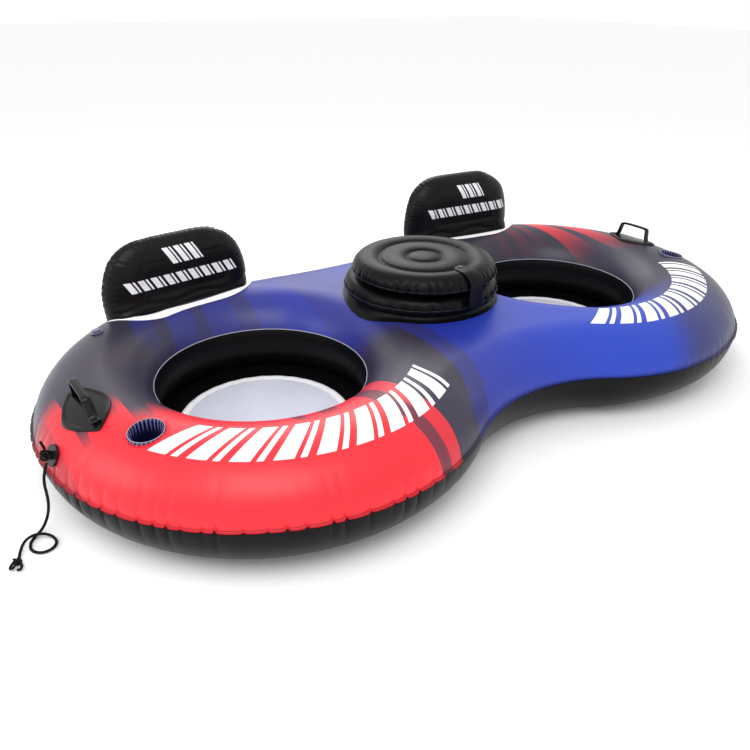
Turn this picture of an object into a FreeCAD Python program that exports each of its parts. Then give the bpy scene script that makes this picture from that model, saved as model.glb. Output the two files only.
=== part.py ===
import FreeCAD
import Part
import Sketcher

import math
import os
import re

# Two-person inflatable tube with a cooler between the seats, all sizes in millimetres.
# Origin: on the floor, at the middle of the tube's footprint. +X runs along the length,
# +Y points to the backrests and +Z is up. Soft walls are drawn thicker than real vinyl.

doc = FreeCAD.newDocument("TowableTube")
sheet = doc.addObject("Spreadsheet::Sheet", "Sizes")
working = doc.addObject("Spreadsheet::Sheet", "Working")

SIZES = {
    # tube
    "RingSpacing": 605.6,        # middle of the object to a ring's centre
    "RingRadius": 644.4,         # ring centre to the edge of the weld flange
    "FlangeWidth": 6.0,          # weld flange outside the inflated skin
    "FlangeThickness": 1.2,      # one skin's layer of the flange
    "WaistRadius": 472.0,        # concave waist between the rings, at the front
    "WaistBackRadius": 1794.0,   # and at the back, where it is shallow
    "TubeHeight": 296.0,
    "SeamHeight": 168.0,         # outer weld seam above the floor
    "SeatSeamHeight": 197.0,     # weld seam round each seat hole
    "SkinThickness": 3.0,
    "SeatOffset": 7.6,           # seat hole centre outboard of the ring centre
    "SeatBack": 28.0,            # seat hole centre behind the ring centre
    "SeatRadius": 298.0,
    "WellRadius": 190.0,         # hole for the cooler
    "WellBack": 62.0,
    # seat floors
    "MeshHeight": 45.0,
    "MeshRadius": 250.0,
    "MeshThickness": 2.0,
    "BorderRadius": 258.0,
    "BorderWidth": 23.0,
    "BorderThickness": 1.6,
    "SeatSkirtReach": 338.0,
    # backrests
    "RestWidth": 500.0,
    "RestTopWidth": 420.0,
    "RestHeight": 238.0,
    "RestThickness": 92.0,
    "RestCorner": 96.0,
    "RestBase": 297.0,           # underside of a backrest above the floor
    "RestYaw": 5.7,
    "RestLeftX": -668.0,
    "RestLeftY": 484.0,
    "RestRightX": 556.0,
    "RestRightY": 516.0,
    "StripDepth": 46.0,
    "StripThickness": 1.6,
    # cup holders
    "CupRingRadius": 492.0,
    "CupLeftAngle": 152.4,
    "CupRightAngle": 20.2,
    "CupRadius": 40.0,
    "CupWall": 2.0,
    "CupDepth": 92.0,
    "CupRim": 50.0,
    "CupRimThickness": 2.6,
    # grab handles
    "HandleX": 1114.0,
    "HandleY": 40.0,
    "HandleTilt": 7.5,
    "PatchLength": 204.0,
    "PatchWidth": 88.0,
    "PatchThickness": 6.0,
    "PatchRim": 6.0,
    "LoopFoot": 134.0,
    "LoopTop": 112.0,
    "LoopRise": 58.0,
    "LoopWidth": 22.0,
    "LoopBar": 7.0,
    # tow eye and rope
    "EyeAngle": 173.0,
    "EyeLift": 25.6,
    "EyePatch": 27.0,
    "EyePatchThickness": 3.5,
    "EyeRadius": 11.0,
    "EyeHole": 6.0,
    "RopeDiameter": 7.0,
    "KnotRadius": 12.0,
    "KnotLength": 10.0,
    "KnotTail": 34.0,
    "EndKnotRadius": 8.5,
    "EndKnotLength": 16.0,
    # cooler
    "CollarBack": 74.0,
    "CollarRadius": 262.0,
    "CollarInner": 176.0,
    "CollarBottom": 298.5,
    "CollarHeight": 70.0,
    "LinerRadius": 175.0,
    "LinerWall": 6.0,
    "LinerBottom": 38.0,
    "LinerTop": 352.0,
    "CoolerSkirtRadius": 236.0,
    "LidBack": 47.0,
    "LidRadius": 233.0,
    "LidBottom": 373.0,
    "LidHeight": 67.0,
    "LidGroove": 147.0,
    "LidButton": 58.0,
    "HingeWidth": 170.0,
    "HingeBead": 2.6,
    "StrapWidth": 55.0,
    "StrapThickness": 2.4,
    "StrapTurn": 3.0,
    # working solids, larger than the tube
    "SlabLength": 2800.0,
    "SlabWidth": 1600.0,
    "CutReach": 100.0,
    "SeatPlugMargin": 92.0,      # the lower skin's wall round a seat reaches this far out
    # fits and small sizes of the parts above
    "FitGap": 0.3,
    "MeshGap": 0.2,
    "SkirtOverlap": 12.0,
    "ValveDiscHeight": 1.5,
    "ValveBossHeight": 5.0,
    "ValveBossWall": 3.5,
    "ValveEar": 6.0,
    "ValveEarHeight": 3.0,
    "ValveEarReach": 20.0,
    "CapLevel": 5.3,
    "CapThickness": 3.0,
    "PlugLevel": 1.4,
    "PlugLength": 4.0,
    "PlugTipGap": 1.3,
    "PlugRootGap": 0.4,
    "TetherLength": 7.0,
    "TetherWidth": 5.0,
    "TetherThickness": 1.4,
    "RestFootExtra": 3.0,
    "RestValveSide": 130.0,
    "RestValveHeight": 90.0,
    "StripInset": 4.0,
    "StripCorner": 20.0,
    "StripForward": 40.0,
    "PatchRoot": 14.0,
    "PatchEndCorner": 11.0,
    "PatchSideCorner": 70.0,
    "PatchLip": 2.0,
    "LoopBend": 6.0,
    "EyeletHeight": 4.0,
    "EyePatchRoot": 8.0,
    "KnotOut": 18.0,             # the tie knot's centre, out from the skin
    "SkirtFoot": 262.0,
    "SkirtFilm": 2.5,
    "LidGrooveDepth": 4.0,
    "HingeBehindLid": 5.0,
    "HingeFoot": 2.0,
    "HingeStripLength": 44.0,
    "HingeStripThickness": 1.5,
    "StrapGap": 0.5,
    "StrapTabStart": 150.0,
    "StrapTailDrop": 45.0,
    "SnapRadius": 9.0,
    "SnapHeight": 2.0,
    "SnapAt": 164.0,
    "LidValveSide": 105.0,
    "CollarValveSink": 9.0,
    # air valves
    "ValveRadius": 19.0,
    "ValveBore": 9.0,
    "CapRadius": 13.5,
}

for row, (alias, size) in enumerate(SIZES.items(), start=1):
    sheet.set("A%d" % row, alias)
    sheet.set("B%d" % row, str(size))
    sheet.setAlias("B%d" % row, alias)
doc.recompute()

NODES = {}


def s(text):
    """Aliases in a short expression, each as a reference to the sheet."""
    return re.sub(r"\b[A-Z][A-Za-z]+\b", lambda alias: "Sizes." + alias.group(), text)


def number(expression):
    """The value of an expression written with the sheet's aliases."""
    working.set("A1", "=" + s(expression))
    working.recompute()
    return float(working.get("A1"))


def spot(x=0.0, y=0.0, z=0.0):
    return FreeCAD.Vector(x, y, z)


X_AXIS = spot(1, 0, 0)
Y_AXIS = spot(0, 1, 0)
Z_AXIS = spot(0, 0, 1)


def new_body(name):
    body = doc.addObject("PartDesign::Body", name)
    body.Label = name
    return body


def new_sketch(body, plane="XY_Plane", lift=None):
    """A sketch on one of the body's own origin planes, lifted along its normal."""
    sketch = body.newObject("Sketcher::SketchObject", "Sketch")
    for feature in body.Origin.OriginFeatures:
        if feature.Role == plane:
            sketch.AttachmentSupport = [(feature, "")]
    sketch.MapMode = "FlatFace"
    if lift is not None:
        sketch.setExpression("AttachmentOffset.Base.z", s(lift))
    doc.recompute()
    return sketch


def bind(sketch, constraint, expression):
    index = sketch.addConstraint(constraint)
    sketch.setExpression("Constraints[%d]" % index, s(expression))
    return index


def circle(sketch, x, y, radius):
    """A circle whose centre and radius follow expressions."""
    at = spot(number(x), number(y))
    index = sketch.addGeometry(Part.Circle(at, Z_AXIS, number(radius)))
    for kind, expression in (("DistanceX", x), ("DistanceY", y)):
        size = number(expression)
        if abs(size) < 1e-9:
            line = -2 if kind == "DistanceX" else -1
            sketch.addConstraint(Sketcher.Constraint("PointOnObject", index, 3, line))
        elif size > 0:
            bind(sketch, Sketcher.Constraint(kind, -1, 1, index, 3, size), expression)
        else:
            bind(sketch, Sketcher.Constraint(kind, index, 3, -1, 1, -size), "-(%s)" % expression)
    bind(sketch, Sketcher.Constraint("Radius", index, number(radius)), radius)
    return index


def polygon(sketch, corners):
    """Straight sides through corners, each an (x, y) pair of expressions."""
    points = [spot(number(x), number(y)) for x, y in corners]
    first = sketch.GeometryCount
    for here, there in zip(points, points[1:] + points[:1]):
        sketch.addGeometry(Part.LineSegment(here, there))
    count = len(points)
    for index, (x, y) in enumerate(corners):
        line = first + index
        before = first + (index - 1) % count
        sketch.addConstraint(Sketcher.Constraint("Coincident", before, 2, line, 1))
        for kind, expression in (("DistanceX", x), ("DistanceY", y)):
            size = number(expression)
            if abs(size) < 1e-9:
                axis = -2 if kind == "DistanceX" else -1
                sketch.addConstraint(Sketcher.Constraint("PointOnObject", line, 1, axis))
            elif size > 0:
                bind(sketch, Sketcher.Constraint(kind, -1, 1, line, 1, size), expression)
            else:
                sign = Sketcher.Constraint(kind, line, 1, -1, 1, -size)
                bind(sketch, sign, "-(%s)" % expression)


def pad(body, sketch, length, middle=False):
    feature = body.newObject("PartDesign::Pad", "Pad")
    feature.Profile = sketch
    feature.setExpression("Length", s(length))
    if middle:
        feature.Midplane = True
    doc.recompute()
    return feature


def pocket(body, sketch, length=None, upward=True):
    """Cuts through everything, or to a depth, and says so when it cuts nothing."""
    before = body.Shape.Volume
    feature = body.newObject("PartDesign::Pocket", "Pocket")
    feature.Profile = sketch
    feature.Reversed = upward
    if length is None:
        feature.Type = "ThroughAll"
    else:
        feature.setExpression("Length", s(length))
    doc.recompute()
    if body.Shape.Volume > before - 1:
        raise RuntimeError(body.Label + ": a pocket cuts nothing")
    return feature


def revolve(body, sketch):
    feature = body.newObject("PartDesign::Revolution", "Revolution")
    feature.Profile = sketch
    feature.ReferenceAxis = (sketch, ["V_Axis"])
    feature.Angle = 360
    doc.recompute()
    return feature


def groove(body, sketch):
    before = body.Shape.Volume
    feature = body.newObject("PartDesign::Groove", "Groove")
    feature.Profile = sketch
    feature.ReferenceAxis = (sketch, ["V_Axis"])
    feature.Angle = 360
    doc.recompute()
    if body.Shape.Volume > before - 1:
        raise RuntimeError(body.Label + ": a groove cuts nothing")
    return feature


def fillet(body, radius, wanted):
    """Rounds each edge of the body's last feature that the test picks."""
    base = body.Tip
    names = []
    for index, edge in enumerate(base.Shape.Edges, start=1):
        if wanted(edge):
            names.append("Edge%d" % index)
    feature = body.newObject("PartDesign::Fillet", "Fillet")
    feature.Base = (base, names)
    feature.setExpression("Radius", s(radius))
    doc.recompute()
    return feature


def boolean(kind, name, base, tool):
    feature = doc.addObject("Part::" + kind, name)
    feature.Label = name
    feature.Base = base
    feature.Tool = tool
    doc.recompute()
    return feature


def fuse(name, pieces):
    feature = doc.addObject("Part::MultiFuse", name)
    feature.Label = name
    feature.Shapes = pieces
    doc.recompute()
    return feature


def cylinder(name, radius, height, at=None):
    feature = doc.addObject("Part::Cylinder", name)
    feature.Label = name
    feature.setExpression("Radius", s(radius))
    feature.setExpression("Height", s(height))
    feature.Placement.Base = at or spot()
    doc.recompute()
    return feature


def box(name, length, width, height, at):
    feature = doc.addObject("Part::Box", name)
    feature.Label = name
    feature.setExpression("Length", s(length))
    feature.setExpression("Width", s(width))
    feature.setExpression("Height", s(height))
    feature.Placement.Base = at
    doc.recompute()
    return feature


def place(feature, at, turn=0.0, tilt=0.0):
    """Tilts a piece about Y, turns it about Z and moves it."""
    turned = FreeCAD.Rotation(Z_AXIS, turn)
    tilted = FreeCAD.Rotation(Y_AXIS, tilt)
    feature.Placement = FreeCAD.Placement(at, turned.multiply(tilted))
    doc.recompute()


def keep(name, feature):
    feature.Label = name
    NODES[name] = feature
    return feature


# ---------------------------------------------------------------- the tube
def outline(sketch, grow):
    """The two rings and the waists between them, as four tangent arcs."""
    spacing = number("RingSpacing")
    radius = number("RingRadius - FlangeWidth + " + grow)
    waist_sizes = []
    leans = []
    hollows = []
    for sign, alias in ((-1, "WaistRadius"), (1, "WaistBackRadius")):
        waist_size = "%s + FlangeWidth - (%s)" % (alias, grow)
        waist = number(waist_size)
        waist_y = math.sqrt((radius + waist) ** 2 - spacing ** 2)
        waist_sizes.append(waist_size)
        leans.append(math.atan2(waist_y, spacing))
        hollows.append(Part.Circle(spot(0, sign * waist_y), Z_AXIS, waist))
    front_lean, back_lean = leans
    arcs = []
    for x, start, end in ((spacing, -math.pi + front_lean, math.pi - back_lean),
                          (-spacing, back_lean, 2 * math.pi - front_lean)):
        ring = Part.Circle(spot(x), Z_AXIS, radius)
        arcs.append(sketch.addGeometry(Part.ArcOfCircle(ring, start, end)))
    for hollow, start, end in ((hollows[0], front_lean, math.pi - front_lean),
                               (hollows[1], math.pi + back_lean, 2 * math.pi - back_lean)):
        arcs.append(sketch.addGeometry(Part.ArcOfCircle(hollow, start, end)))
    right, left, front, back = arcs
    for one, one_end, other, other_end in ((right, 1, front, 1), (front, 2, left, 2),
                                           (left, 1, back, 1), (back, 2, right, 2)):
        sketch.addConstraint(Sketcher.Constraint("Tangent", one, one_end, other, other_end))
    for arc in (right, left):
        sketch.addConstraint(Sketcher.Constraint("PointOnObject", arc, 3, -1))
    bind(sketch, Sketcher.Constraint("DistanceX", -1, 1, right, 3, spacing), "RingSpacing")
    bind(sketch, Sketcher.Constraint("DistanceX", left, 3, -1, 1, spacing), "RingSpacing")
    size = "RingRadius - FlangeWidth + " + grow
    bind(sketch, Sketcher.Constraint("Radius", right, radius), size)
    bind(sketch, Sketcher.Constraint("Radius", left, radius), size)
    for arc, waist_size in zip((front, back), waist_sizes):
        bind(sketch, Sketcher.Constraint("Radius", arc, number(waist_size)), waist_size)


def seat_holes(sketch, radius):
    for side in (-1, 1):
        circle(sketch, "%d * (RingSpacing + SeatOffset)" % side, "SeatBack", radius)


def inflated(name, grow):
    """The tube's outside, grown by an amount: rounded all round, with three holes."""
    body = new_body(name)
    sketch = new_sketch(body, lift="-(%s)" % grow)
    outline(sketch, grow)
    pad(body, sketch, "TubeHeight + 2 * (%s)" % grow)
    holes = new_sketch(body, lift="-(%s)" % grow)
    seat_holes(holes, "SeatRadius - (%s)" % grow)
    pocket(body, holes)
    doc.recompute()
    middle = number("TubeHeight") / 2

    def rim(edge):
        levels = [vertex.Point.z for vertex in edge.Vertexes]
        flat = max(levels) - min(levels) < 0.01
        return flat and abs(levels[0] - middle) > 1
    fillet(body, "TubeHeight / 2 + (%s) - 0.2" % grow, rim)
    well = new_sketch(body, lift="-(%s)" % grow)
    circle(well, "0", "WellBack", "WellRadius - (%s)" % grow)
    pocket(body, well)
    return body


def flange(name, bottom):
    """A flat weld margin that follows the outline, from inside the skin's wall outwards."""
    body = new_body(name)
    sketch = new_sketch(body, lift=bottom)
    outline(sketch, "FlangeWidth")
    outline(sketch, "-SkinThickness")
    pad(body, sketch, "FlangeThickness")
    return body


def on_ring(side, radius, degrees, z=0.0):
    """A point at a radius and angle from a ring's centre."""
    angle = math.radians(degrees)
    x = side * number("RingSpacing") + radius * math.cos(angle)
    return spot(x, radius * math.sin(angle), z)


tube_outside = inflated("tube_outside", "0")
tube_inside = inflated("tube_inside", "-SkinThickness")
shell = boolean("Cut", "tube_shell", tube_outside, tube_inside)

slab_at = spot(-number("SlabLength / 2"), -number("SlabWidth / 2"), number("SeamHeight"))
slab = box("upper_slab", "SlabLength", "SlabWidth", "TubeHeight", slab_at)
plugs = []
for side in (-1, 1):
    seat_x = side * number("RingSpacing + SeatOffset")
    at = spot(seat_x, number("SeatBack"), number("SeamHeight"))
    plugs.append(cylinder("seat_plug", "SeatRadius + SeatPlugMargin", "SeatSeamHeight - SeamHeight", at))
upper = boolean("Cut", "upper_region", slab, fuse("seat_plugs", plugs))
top_shell = boolean("Common", "top_shell", shell, upper)
bottom_shell = boolean("Cut", "bottom_shell", shell, upper)
top_fused = fuse("top_fused", [top_shell, flange("top_margin", "SeamHeight")])
bottom_fused = fuse("bottom_skin", [bottom_shell,
                                    flange("bottom_margin", "SeamHeight - FlangeThickness")])
keep("bottom_skin", bottom_fused)

CUPS = {}
for name, side, degrees in (("left", -1, -number("CupLeftAngle")),
                            ("right", 1, -number("CupRightAngle"))):
    CUPS[name] = on_ring(side, number("CupRingRadius"), degrees)
cup_cuts = []
for name, at in CUPS.items():
    cut_at = at + spot(0, 0, number("TubeHeight - CutReach / 2"))
    cup_cuts.append(cylinder("cup_cut_" + name, "CupRadius + CupWall + FitGap", "CutReach", cut_at))
keep("top_skin", boolean("Cut", "top_skin", top_fused, fuse("cup_cuts", cup_cuts)))


def layer(name, prism, outer):
    """The part of a prism that lies on the tube's skin, up to a grown outside."""
    kept = boolean("Common", name + "_slice", prism, outer)
    return boolean("Cut", name, kept, tube_outside)


# ---------------------------------------------------------------- seat floors
def seat_floor(name, side):
    """A mesh disc, its stitched border above it and the vinyl skirt out to the tube."""
    centre = spot(side * number("RingSpacing + SeatOffset"), number("SeatBack"))
    level = number("MeshHeight")
    mesh = new_body("seat_mesh_" + name)
    sketch = new_sketch(mesh)
    circle(sketch, "0", "0", "MeshRadius")
    pad(mesh, sketch, "MeshThickness")
    mesh.Placement.Base = centre + spot(0, 0, level)
    keep("seat_mesh_" + name, mesh)

    border = new_body("mesh_border_" + name)
    sketch = new_sketch(border)
    circle(sketch, "0", "0", "BorderRadius")
    circle(sketch, "0", "0", "BorderRadius - BorderWidth")
    pad(border, sketch, "BorderThickness")
    border.Placement.Base = centre + spot(0, 0, level + number("MeshThickness"))
    keep("mesh_border_" + name, border)

    skirt = new_body("skirt_disc")
    sketch = new_sketch(skirt)
    circle(sketch, "0", "0", "SeatSkirtReach + SkirtOverlap")
    circle(sketch, "0", "0", "MeshRadius + MeshGap")
    pad(skirt, sketch, "MeshThickness")
    skirt.Placement.Base = centre + spot(0, 0, level)
    keep("mesh_skirt_" + name, boolean("Cut", "mesh_skirt_" + name, skirt, tube_outside))


seat_floor("left", -1)
seat_floor("right", 1)


# ---------------------------------------------------------------- air valves
def valve(name, at, turn, tilt, surface=None, sink=3):
    """A low boss with a bore, and a cap on a tether that plugs it."""
    root = spot(0, 0, -sink)
    disc = cylinder("valve_disc", "ValveRadius", "%d + ValveDiscHeight" % sink, root)
    boss = cylinder("valve_boss", "ValveBore + ValveBossWall", "%d + ValveBossHeight" % sink, root)
    ear_at = spot(-number("ValveEarReach"), -number("ValveEar / 2"), -sink)
    ear = box("valve_ear", "ValveEar", "ValveEar", "%d + ValveEarHeight" % sink, ear_at)
    solid = fuse("valve_solid", [disc, boss, ear])
    bore = cylinder("valve_bore", "ValveBore", "ValveEarReach", spot(0, 0, -sink - 5))
    base = boolean("Cut", "valve_base", solid, bore)
    place(base, at, turn, tilt)
    if surface is not None:
        base = boolean("Cut", "valve_base", base, surface)
    keep(name + "_valve_base", base)

    level = number("CapLevel")
    disc = cylinder("cap_disc", "CapRadius", "CapThickness", spot(0, 0, level))
    plug = doc.addObject("Part::Cone", "cap_plug")
    plug.setExpression("Radius1", s("ValveBore - PlugTipGap"))
    plug.setExpression("Radius2", s("ValveBore - PlugRootGap"))
    plug.setExpression("Height", s("PlugLength"))
    plug.Placement.Base = spot(0, 0, number("PlugLevel"))
    tether_at = spot(2 - number("ValveEarReach"), -number("TetherWidth / 2"), level)
    tether = box("cap_tether", "TetherLength", "TetherWidth", "TetherThickness", tether_at)
    cap = fuse("valve_cap", [disc, plug, tether])
    place(cap, at, turn, tilt)
    keep(name + "_valve_cap", cap)


# the main valve, on the back of the left ring
VALVE_ANGLE = 134.7
VALVE_RADIUS = 521.0
bulge = number("TubeHeight / 2")
crest = number("RingRadius - FlangeWidth") - bulge
valve_slope = math.degrees(math.asin((VALVE_RADIUS - crest) / bulge))
valve_level = bulge + math.sqrt(bulge ** 2 - (VALVE_RADIUS - crest) ** 2)
valve("main", on_ring(-1, VALVE_RADIUS, VALVE_ANGLE, valve_level), VALVE_ANGLE,
      valve_slope, tube_outside)


# ---------------------------------------------------------------- backrests
def backrest(name, x, y, yaw):
    """An air pillow that stands on the tube behind the seat."""
    body = new_body("backrest_" + name)
    sketch = new_sketch(body, "XZ_Plane")
    polygon(sketch, [("-RestWidth / 2", "0"), ("RestWidth / 2", "0"),
                     ("RestTopWidth / 2", "RestHeight"), ("-RestTopWidth / 2", "RestHeight")])
    pad(body, sketch, "RestThickness", middle=True)
    half = number("RestHeight") / 2

    def upright(edge, upper):
        ends = [vertex.Point for vertex in edge.Vertexes]
        across = abs(ends[0].y - ends[-1].y) > 10
        return across and (ends[0].z > half) == upper
    fillet(body, "RestCorner", lambda edge: upright(edge, True))
    fillet(body, "RestThickness / 2 + RestFootExtra", lambda edge: upright(edge, False))
    edge_y = number("RestThickness") / 2

    def rim(edge):
        return all(abs(abs(vertex.Point.y) - edge_y) < 0.01 for vertex in edge.Vertexes)
    fillet(body, "RestThickness / 2 - FitGap", rim)
    place(body, spot(x, y, number("RestBase")), yaw)
    keep("backrest_" + name, body)

    turned = FreeCAD.Rotation(Z_AXIS, yaw)
    behind = turned.multVec(spot(number("RestValveSide"), number("RestThickness") / 2, 0))
    at = spot(x, y, number("RestBase + RestValveHeight")) + behind
    first_valve_node = len(NODES)
    valve("rest_" + name, spot(), 0, 0)
    tip = FreeCAD.Rotation(Z_AXIS, yaw + 90).multiply(FreeCAD.Rotation(Y_AXIS, 90))
    for piece in list(NODES.values())[first_valve_node:]:
        piece.Placement = FreeCAD.Placement(at, tip)
    doc.recompute()
    base = NODES["rest_%s_valve_base" % name]
    keep("rest_%s_valve_base" % name, boolean("Cut", "valve_base", base, body))


YAW = number("RestYaw")
REST_AT = {"left": (number("RestLeftX"), number("RestLeftY"), YAW),
           "right": (number("RestRightX"), number("RestRightY"), -YAW)}
for name, (x, y, yaw) in REST_AT.items():
    backrest(name, x, y, yaw)

strip_outside = inflated("strip_outside", "StripThickness")
for name, (x, y, yaw) in REST_AT.items():
    prism = new_body("strip_prism")
    sketch = new_sketch(prism)
    polygon(sketch, [("-RestWidth / 2 + StripInset", "-StripDepth"),
                     ("RestWidth / 2 - StripInset", "-StripDepth"),
                     ("RestWidth / 2 - StripInset", "StripDepth / 2"),
                     ("-RestWidth / 2 + StripInset", "StripDepth / 2")])
    pad(prism, sketch, "CutReach")
    fillet(prism, "StripCorner",
           lambda edge: abs(edge.Vertexes[0].Point.z - edge.Vertexes[-1].Point.z) > 10)
    prism_at = spot(x, y - number("StripForward"), number("TubeHeight - CutReach / 2"))
    place(prism, prism_at, yaw)
    keep("weld_strip_" + name, layer("weld_strip_" + name, prism, strip_outside))


# ---------------------------------------------------------------- cup holders
rim_outside = inflated("rim_outside", "CupRimThickness")
for name, at in CUPS.items():
    deck = number("TubeHeight")
    disc = cylinder("rim_disc", "CupRim", "CutReach", at + spot(0, 0, deck - 60))
    rim = layer("cup_rim_" + name, disc, rim_outside)
    wall = cylinder("cup_wall", "CupRadius + CupWall", "CupDepth + 20",
                    at + spot(0, 0, deck - number("CupDepth")))
    wall = boolean("Common", "cup_wall_trimmed", wall, rim_outside)
    bore = cylinder("cup_bore", "CupRadius", "CupDepth + 40",
                    at + spot(0, 0, deck - number("CupDepth - CupWall")))
    cup = boolean("Cut", "cup_holder_" + name, fuse("cup_solid", [rim, wall]), bore)
    keep("cup_holder_" + name, cup)


# ---------------------------------------------------------------- grab handles
def handle(name, side):
    """A moulded base with a raised rim, and the loop that stands on it."""
    reach = math.hypot(number("HandleX - RingSpacing"), number("HandleY"))
    level = bulge + math.sqrt(bulge ** 2 - (reach - crest) ** 2)
    at = spot(side * number("HandleX"), side * number("HandleY"), level)
    turn = 0 if side > 0 else 180

    patch = new_body("patch_solid")
    sketch = new_sketch(patch, lift="-PatchRoot")
    outer = [("PatchWidth / 2", "PatchLength * 0.12"), ("PatchWidth * 0.26", "PatchLength / 2")]
    corners = outer + [("-" + x, y) for x, y in reversed(outer)]
    corners += [("-(%s)" % x, "-(%s)" % y) for x, y in outer]
    corners += [(x, "-(%s)" % y) for x, y in reversed(outer)]
    polygon(sketch, corners)
    pad(patch, sketch, "PatchThickness + PatchRoot")

    def corner(edge, at_end):
        ends = [vertex.Point for vertex in edge.Vertexes]
        upright = abs(ends[0].z - ends[-1].z) > 10
        return upright and (abs(ends[0].y) > number("PatchLength") / 4) == at_end
    fillet(patch, "PatchEndCorner", lambda edge: corner(edge, True))
    fillet(patch, "PatchSideCorner", lambda edge: corner(edge, False))
    top = number("PatchThickness")

    def lip(edge):
        return all(abs(vertex.Point.z - top) < 0.01 for vertex in edge.Vertexes)
    fillet(patch, "PatchLip", lip)
    recess = new_sketch(patch, lift="PatchThickness")
    polygon(recess, [("PatchWidth * 0.3", "PatchLength * 0.36"),
                     ("-PatchWidth * 0.3", "PatchLength * 0.36"),
                     ("-PatchWidth * 0.3", "-PatchLength * 0.36"),
                     ("PatchWidth * 0.3", "-PatchLength * 0.36")])
    pocket(patch, recess, "PatchRim / 2", upward=False)
    place(patch, at, turn, number("HandleTilt"))
    keep("handle_base_" + name, boolean("Cut", "handle_base_" + name, patch, tube_outside))

    loop = new_body("handle_loop_" + name)
    sketch = new_sketch(loop, "YZ_Plane")
    polygon(sketch, [("-LoopFoot / 2", "0"), ("LoopFoot / 2", "0"),
                     ("LoopTop / 2", "LoopRise"), ("-LoopTop / 2", "LoopRise")])
    polygon(sketch, [("-LoopFoot / 2 + LoopBar + 1", "LoopBar / 2"),
                     ("LoopFoot / 2 - LoopBar - 1", "LoopBar / 2"),
                     ("LoopTop / 2 - LoopBar", "LoopRise - LoopBar"),
                     ("-LoopTop / 2 + LoopBar", "LoopRise - LoopBar")])
    pad(loop, sketch, "LoopWidth", middle=True)

    def bend(edge):
        ends = [vertex.Point for vertex in edge.Vertexes]
        return abs(ends[0].x - ends[-1].x) > 10 and ends[0].z > number("LoopRise / 2")
    fillet(loop, "LoopBend", bend)
    lift = FreeCAD.Rotation(Z_AXIS, turn).multiply(FreeCAD.Rotation(Y_AXIS, number("HandleTilt")))
    floor_level = number("PatchThickness - PatchRim / 2")
    loop.Placement = FreeCAD.Placement(at + lift.multVec(spot(0, 0, floor_level)), lift)
    doc.recompute()
    keep("handle_loop_" + name, loop)


handle("left", -1)
handle("right", 1)


# ---------------------------------------------------------------- tow eye and rope
eye_turn = -number("EyeAngle")
eye_lift = math.radians(number("EyeLift"))
eye_at = on_ring(-1, crest + bulge * math.cos(eye_lift), eye_turn,
                 bulge + bulge * math.sin(eye_lift))
pad_disc = cylinder("eye_pad", "EyePatch", "EyePatchThickness + EyePatchRoot")
place(pad_disc, eye_at, eye_turn, 90 - number("EyeLift"))
out_of_eye = pad_disc.Placement.Rotation.multVec(Z_AXIS)
pad_disc.Placement.Base = eye_at - out_of_eye * number("EyePatchRoot")
doc.recompute()
keep("tow_patch", boolean("Cut", "tow_patch", pad_disc, tube_outside))

ring_solid = cylinder("eye_ring", "EyeRadius", "EyeletHeight")
ring_hole = cylinder("eye_hole", "EyeHole", "10", spot(0, 0, -3))
eyelet = boolean("Cut", "tow_eyelet", ring_solid, ring_hole)
eyelet.Placement = FreeCAD.Placement(eye_at + out_of_eye * number("EyePatchThickness"),
                                     pad_disc.Placement.Rotation)
keep("tow_eyelet", eyelet)

ROPE = [(-1243, -86, 204), (-1256, -95, 180), (-1260, -93, 152), (-1259, -86, 122),
        (-1259, -79, 92), (-1263, -73, 62), (-1272, -69, 34), (-1286, -68, 11),
        (-1304, -75, 4), (-1322, -94, 4), (-1328, -122, 4), (-1313, -146, 4),
        (-1285, -149, 4), (-1266, -127, 4), (-1274, -99, 9), (-1299, -85, 16),
        (-1328, -89, 16), (-1347, -108, 7), (-1356, -134, 5)]


def rope_path(points):
    """Straight runs joined by tangent arcs, as one wire."""
    points = [spot(*point) for point in points]
    edges = []
    here = points[0]
    radii = []
    for before, corner, after in zip(points, points[1:], points[2:]):
        into = (corner - before).normalize()
        out = (after - corner).normalize()
        run = min(before.distanceToPoint(corner), corner.distanceToPoint(after))
        reach = 0.45 * run
        turn = into.getAngle(out)
        radii.append(reach / math.tan(turn / 2))
        start = corner - into * reach
        end = corner + out * reach
        inward = (out - into).normalize()
        depth = reach * math.tan(turn / 4)
        edges.append(Part.LineSegment(here, start).toShape())
        edges.append(Part.Arc(start, corner + inward * depth, end).toShape())
        here = end
    edges.append(Part.LineSegment(here, points[-1]).toShape())
    return Part.Wire(edges), radii


rope_wire, rope_radii = rope_path(ROPE)
rope_radius = number("RopeDiameter") / 2
section = Part.Wire([Part.Circle(spot(*ROPE[0]), spot(*ROPE[1]) - spot(*ROPE[0]),
                                 rope_radius).toShape()])
rope = doc.addObject("Part::Feature", "tow_rope")
rope.Shape = rope_wire.makePipeShell([section], True, True)
keep("tow_rope", rope)
print("rope length %.1f, radii %s" % (rope_wire.Length, [round(r, 1) for r in rope_radii]))
rope_volume = math.pi * rope_radius ** 2 * rope_wire.Length
print("rope volume over section times length: %.4f" % (rope.Shape.Volume / rope_volume))


def capsule(name, radius, length, at, turn, tilt):
    """A round-ended rod, centred at a point."""
    half = number(length) / 2
    rod = cylinder(name + "_rod", radius, length, spot(0, 0, -half))
    pieces = [rod]
    for end in (-half, half):
        ball = doc.addObject("Part::Sphere", name + "_end")
        ball.setExpression("Radius", s(radius))
        ball.Placement.Base = spot(0, 0, end)
        pieces.append(ball)
    solid = fuse(name, pieces)
    place(solid, at, turn, tilt)
    return solid


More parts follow.
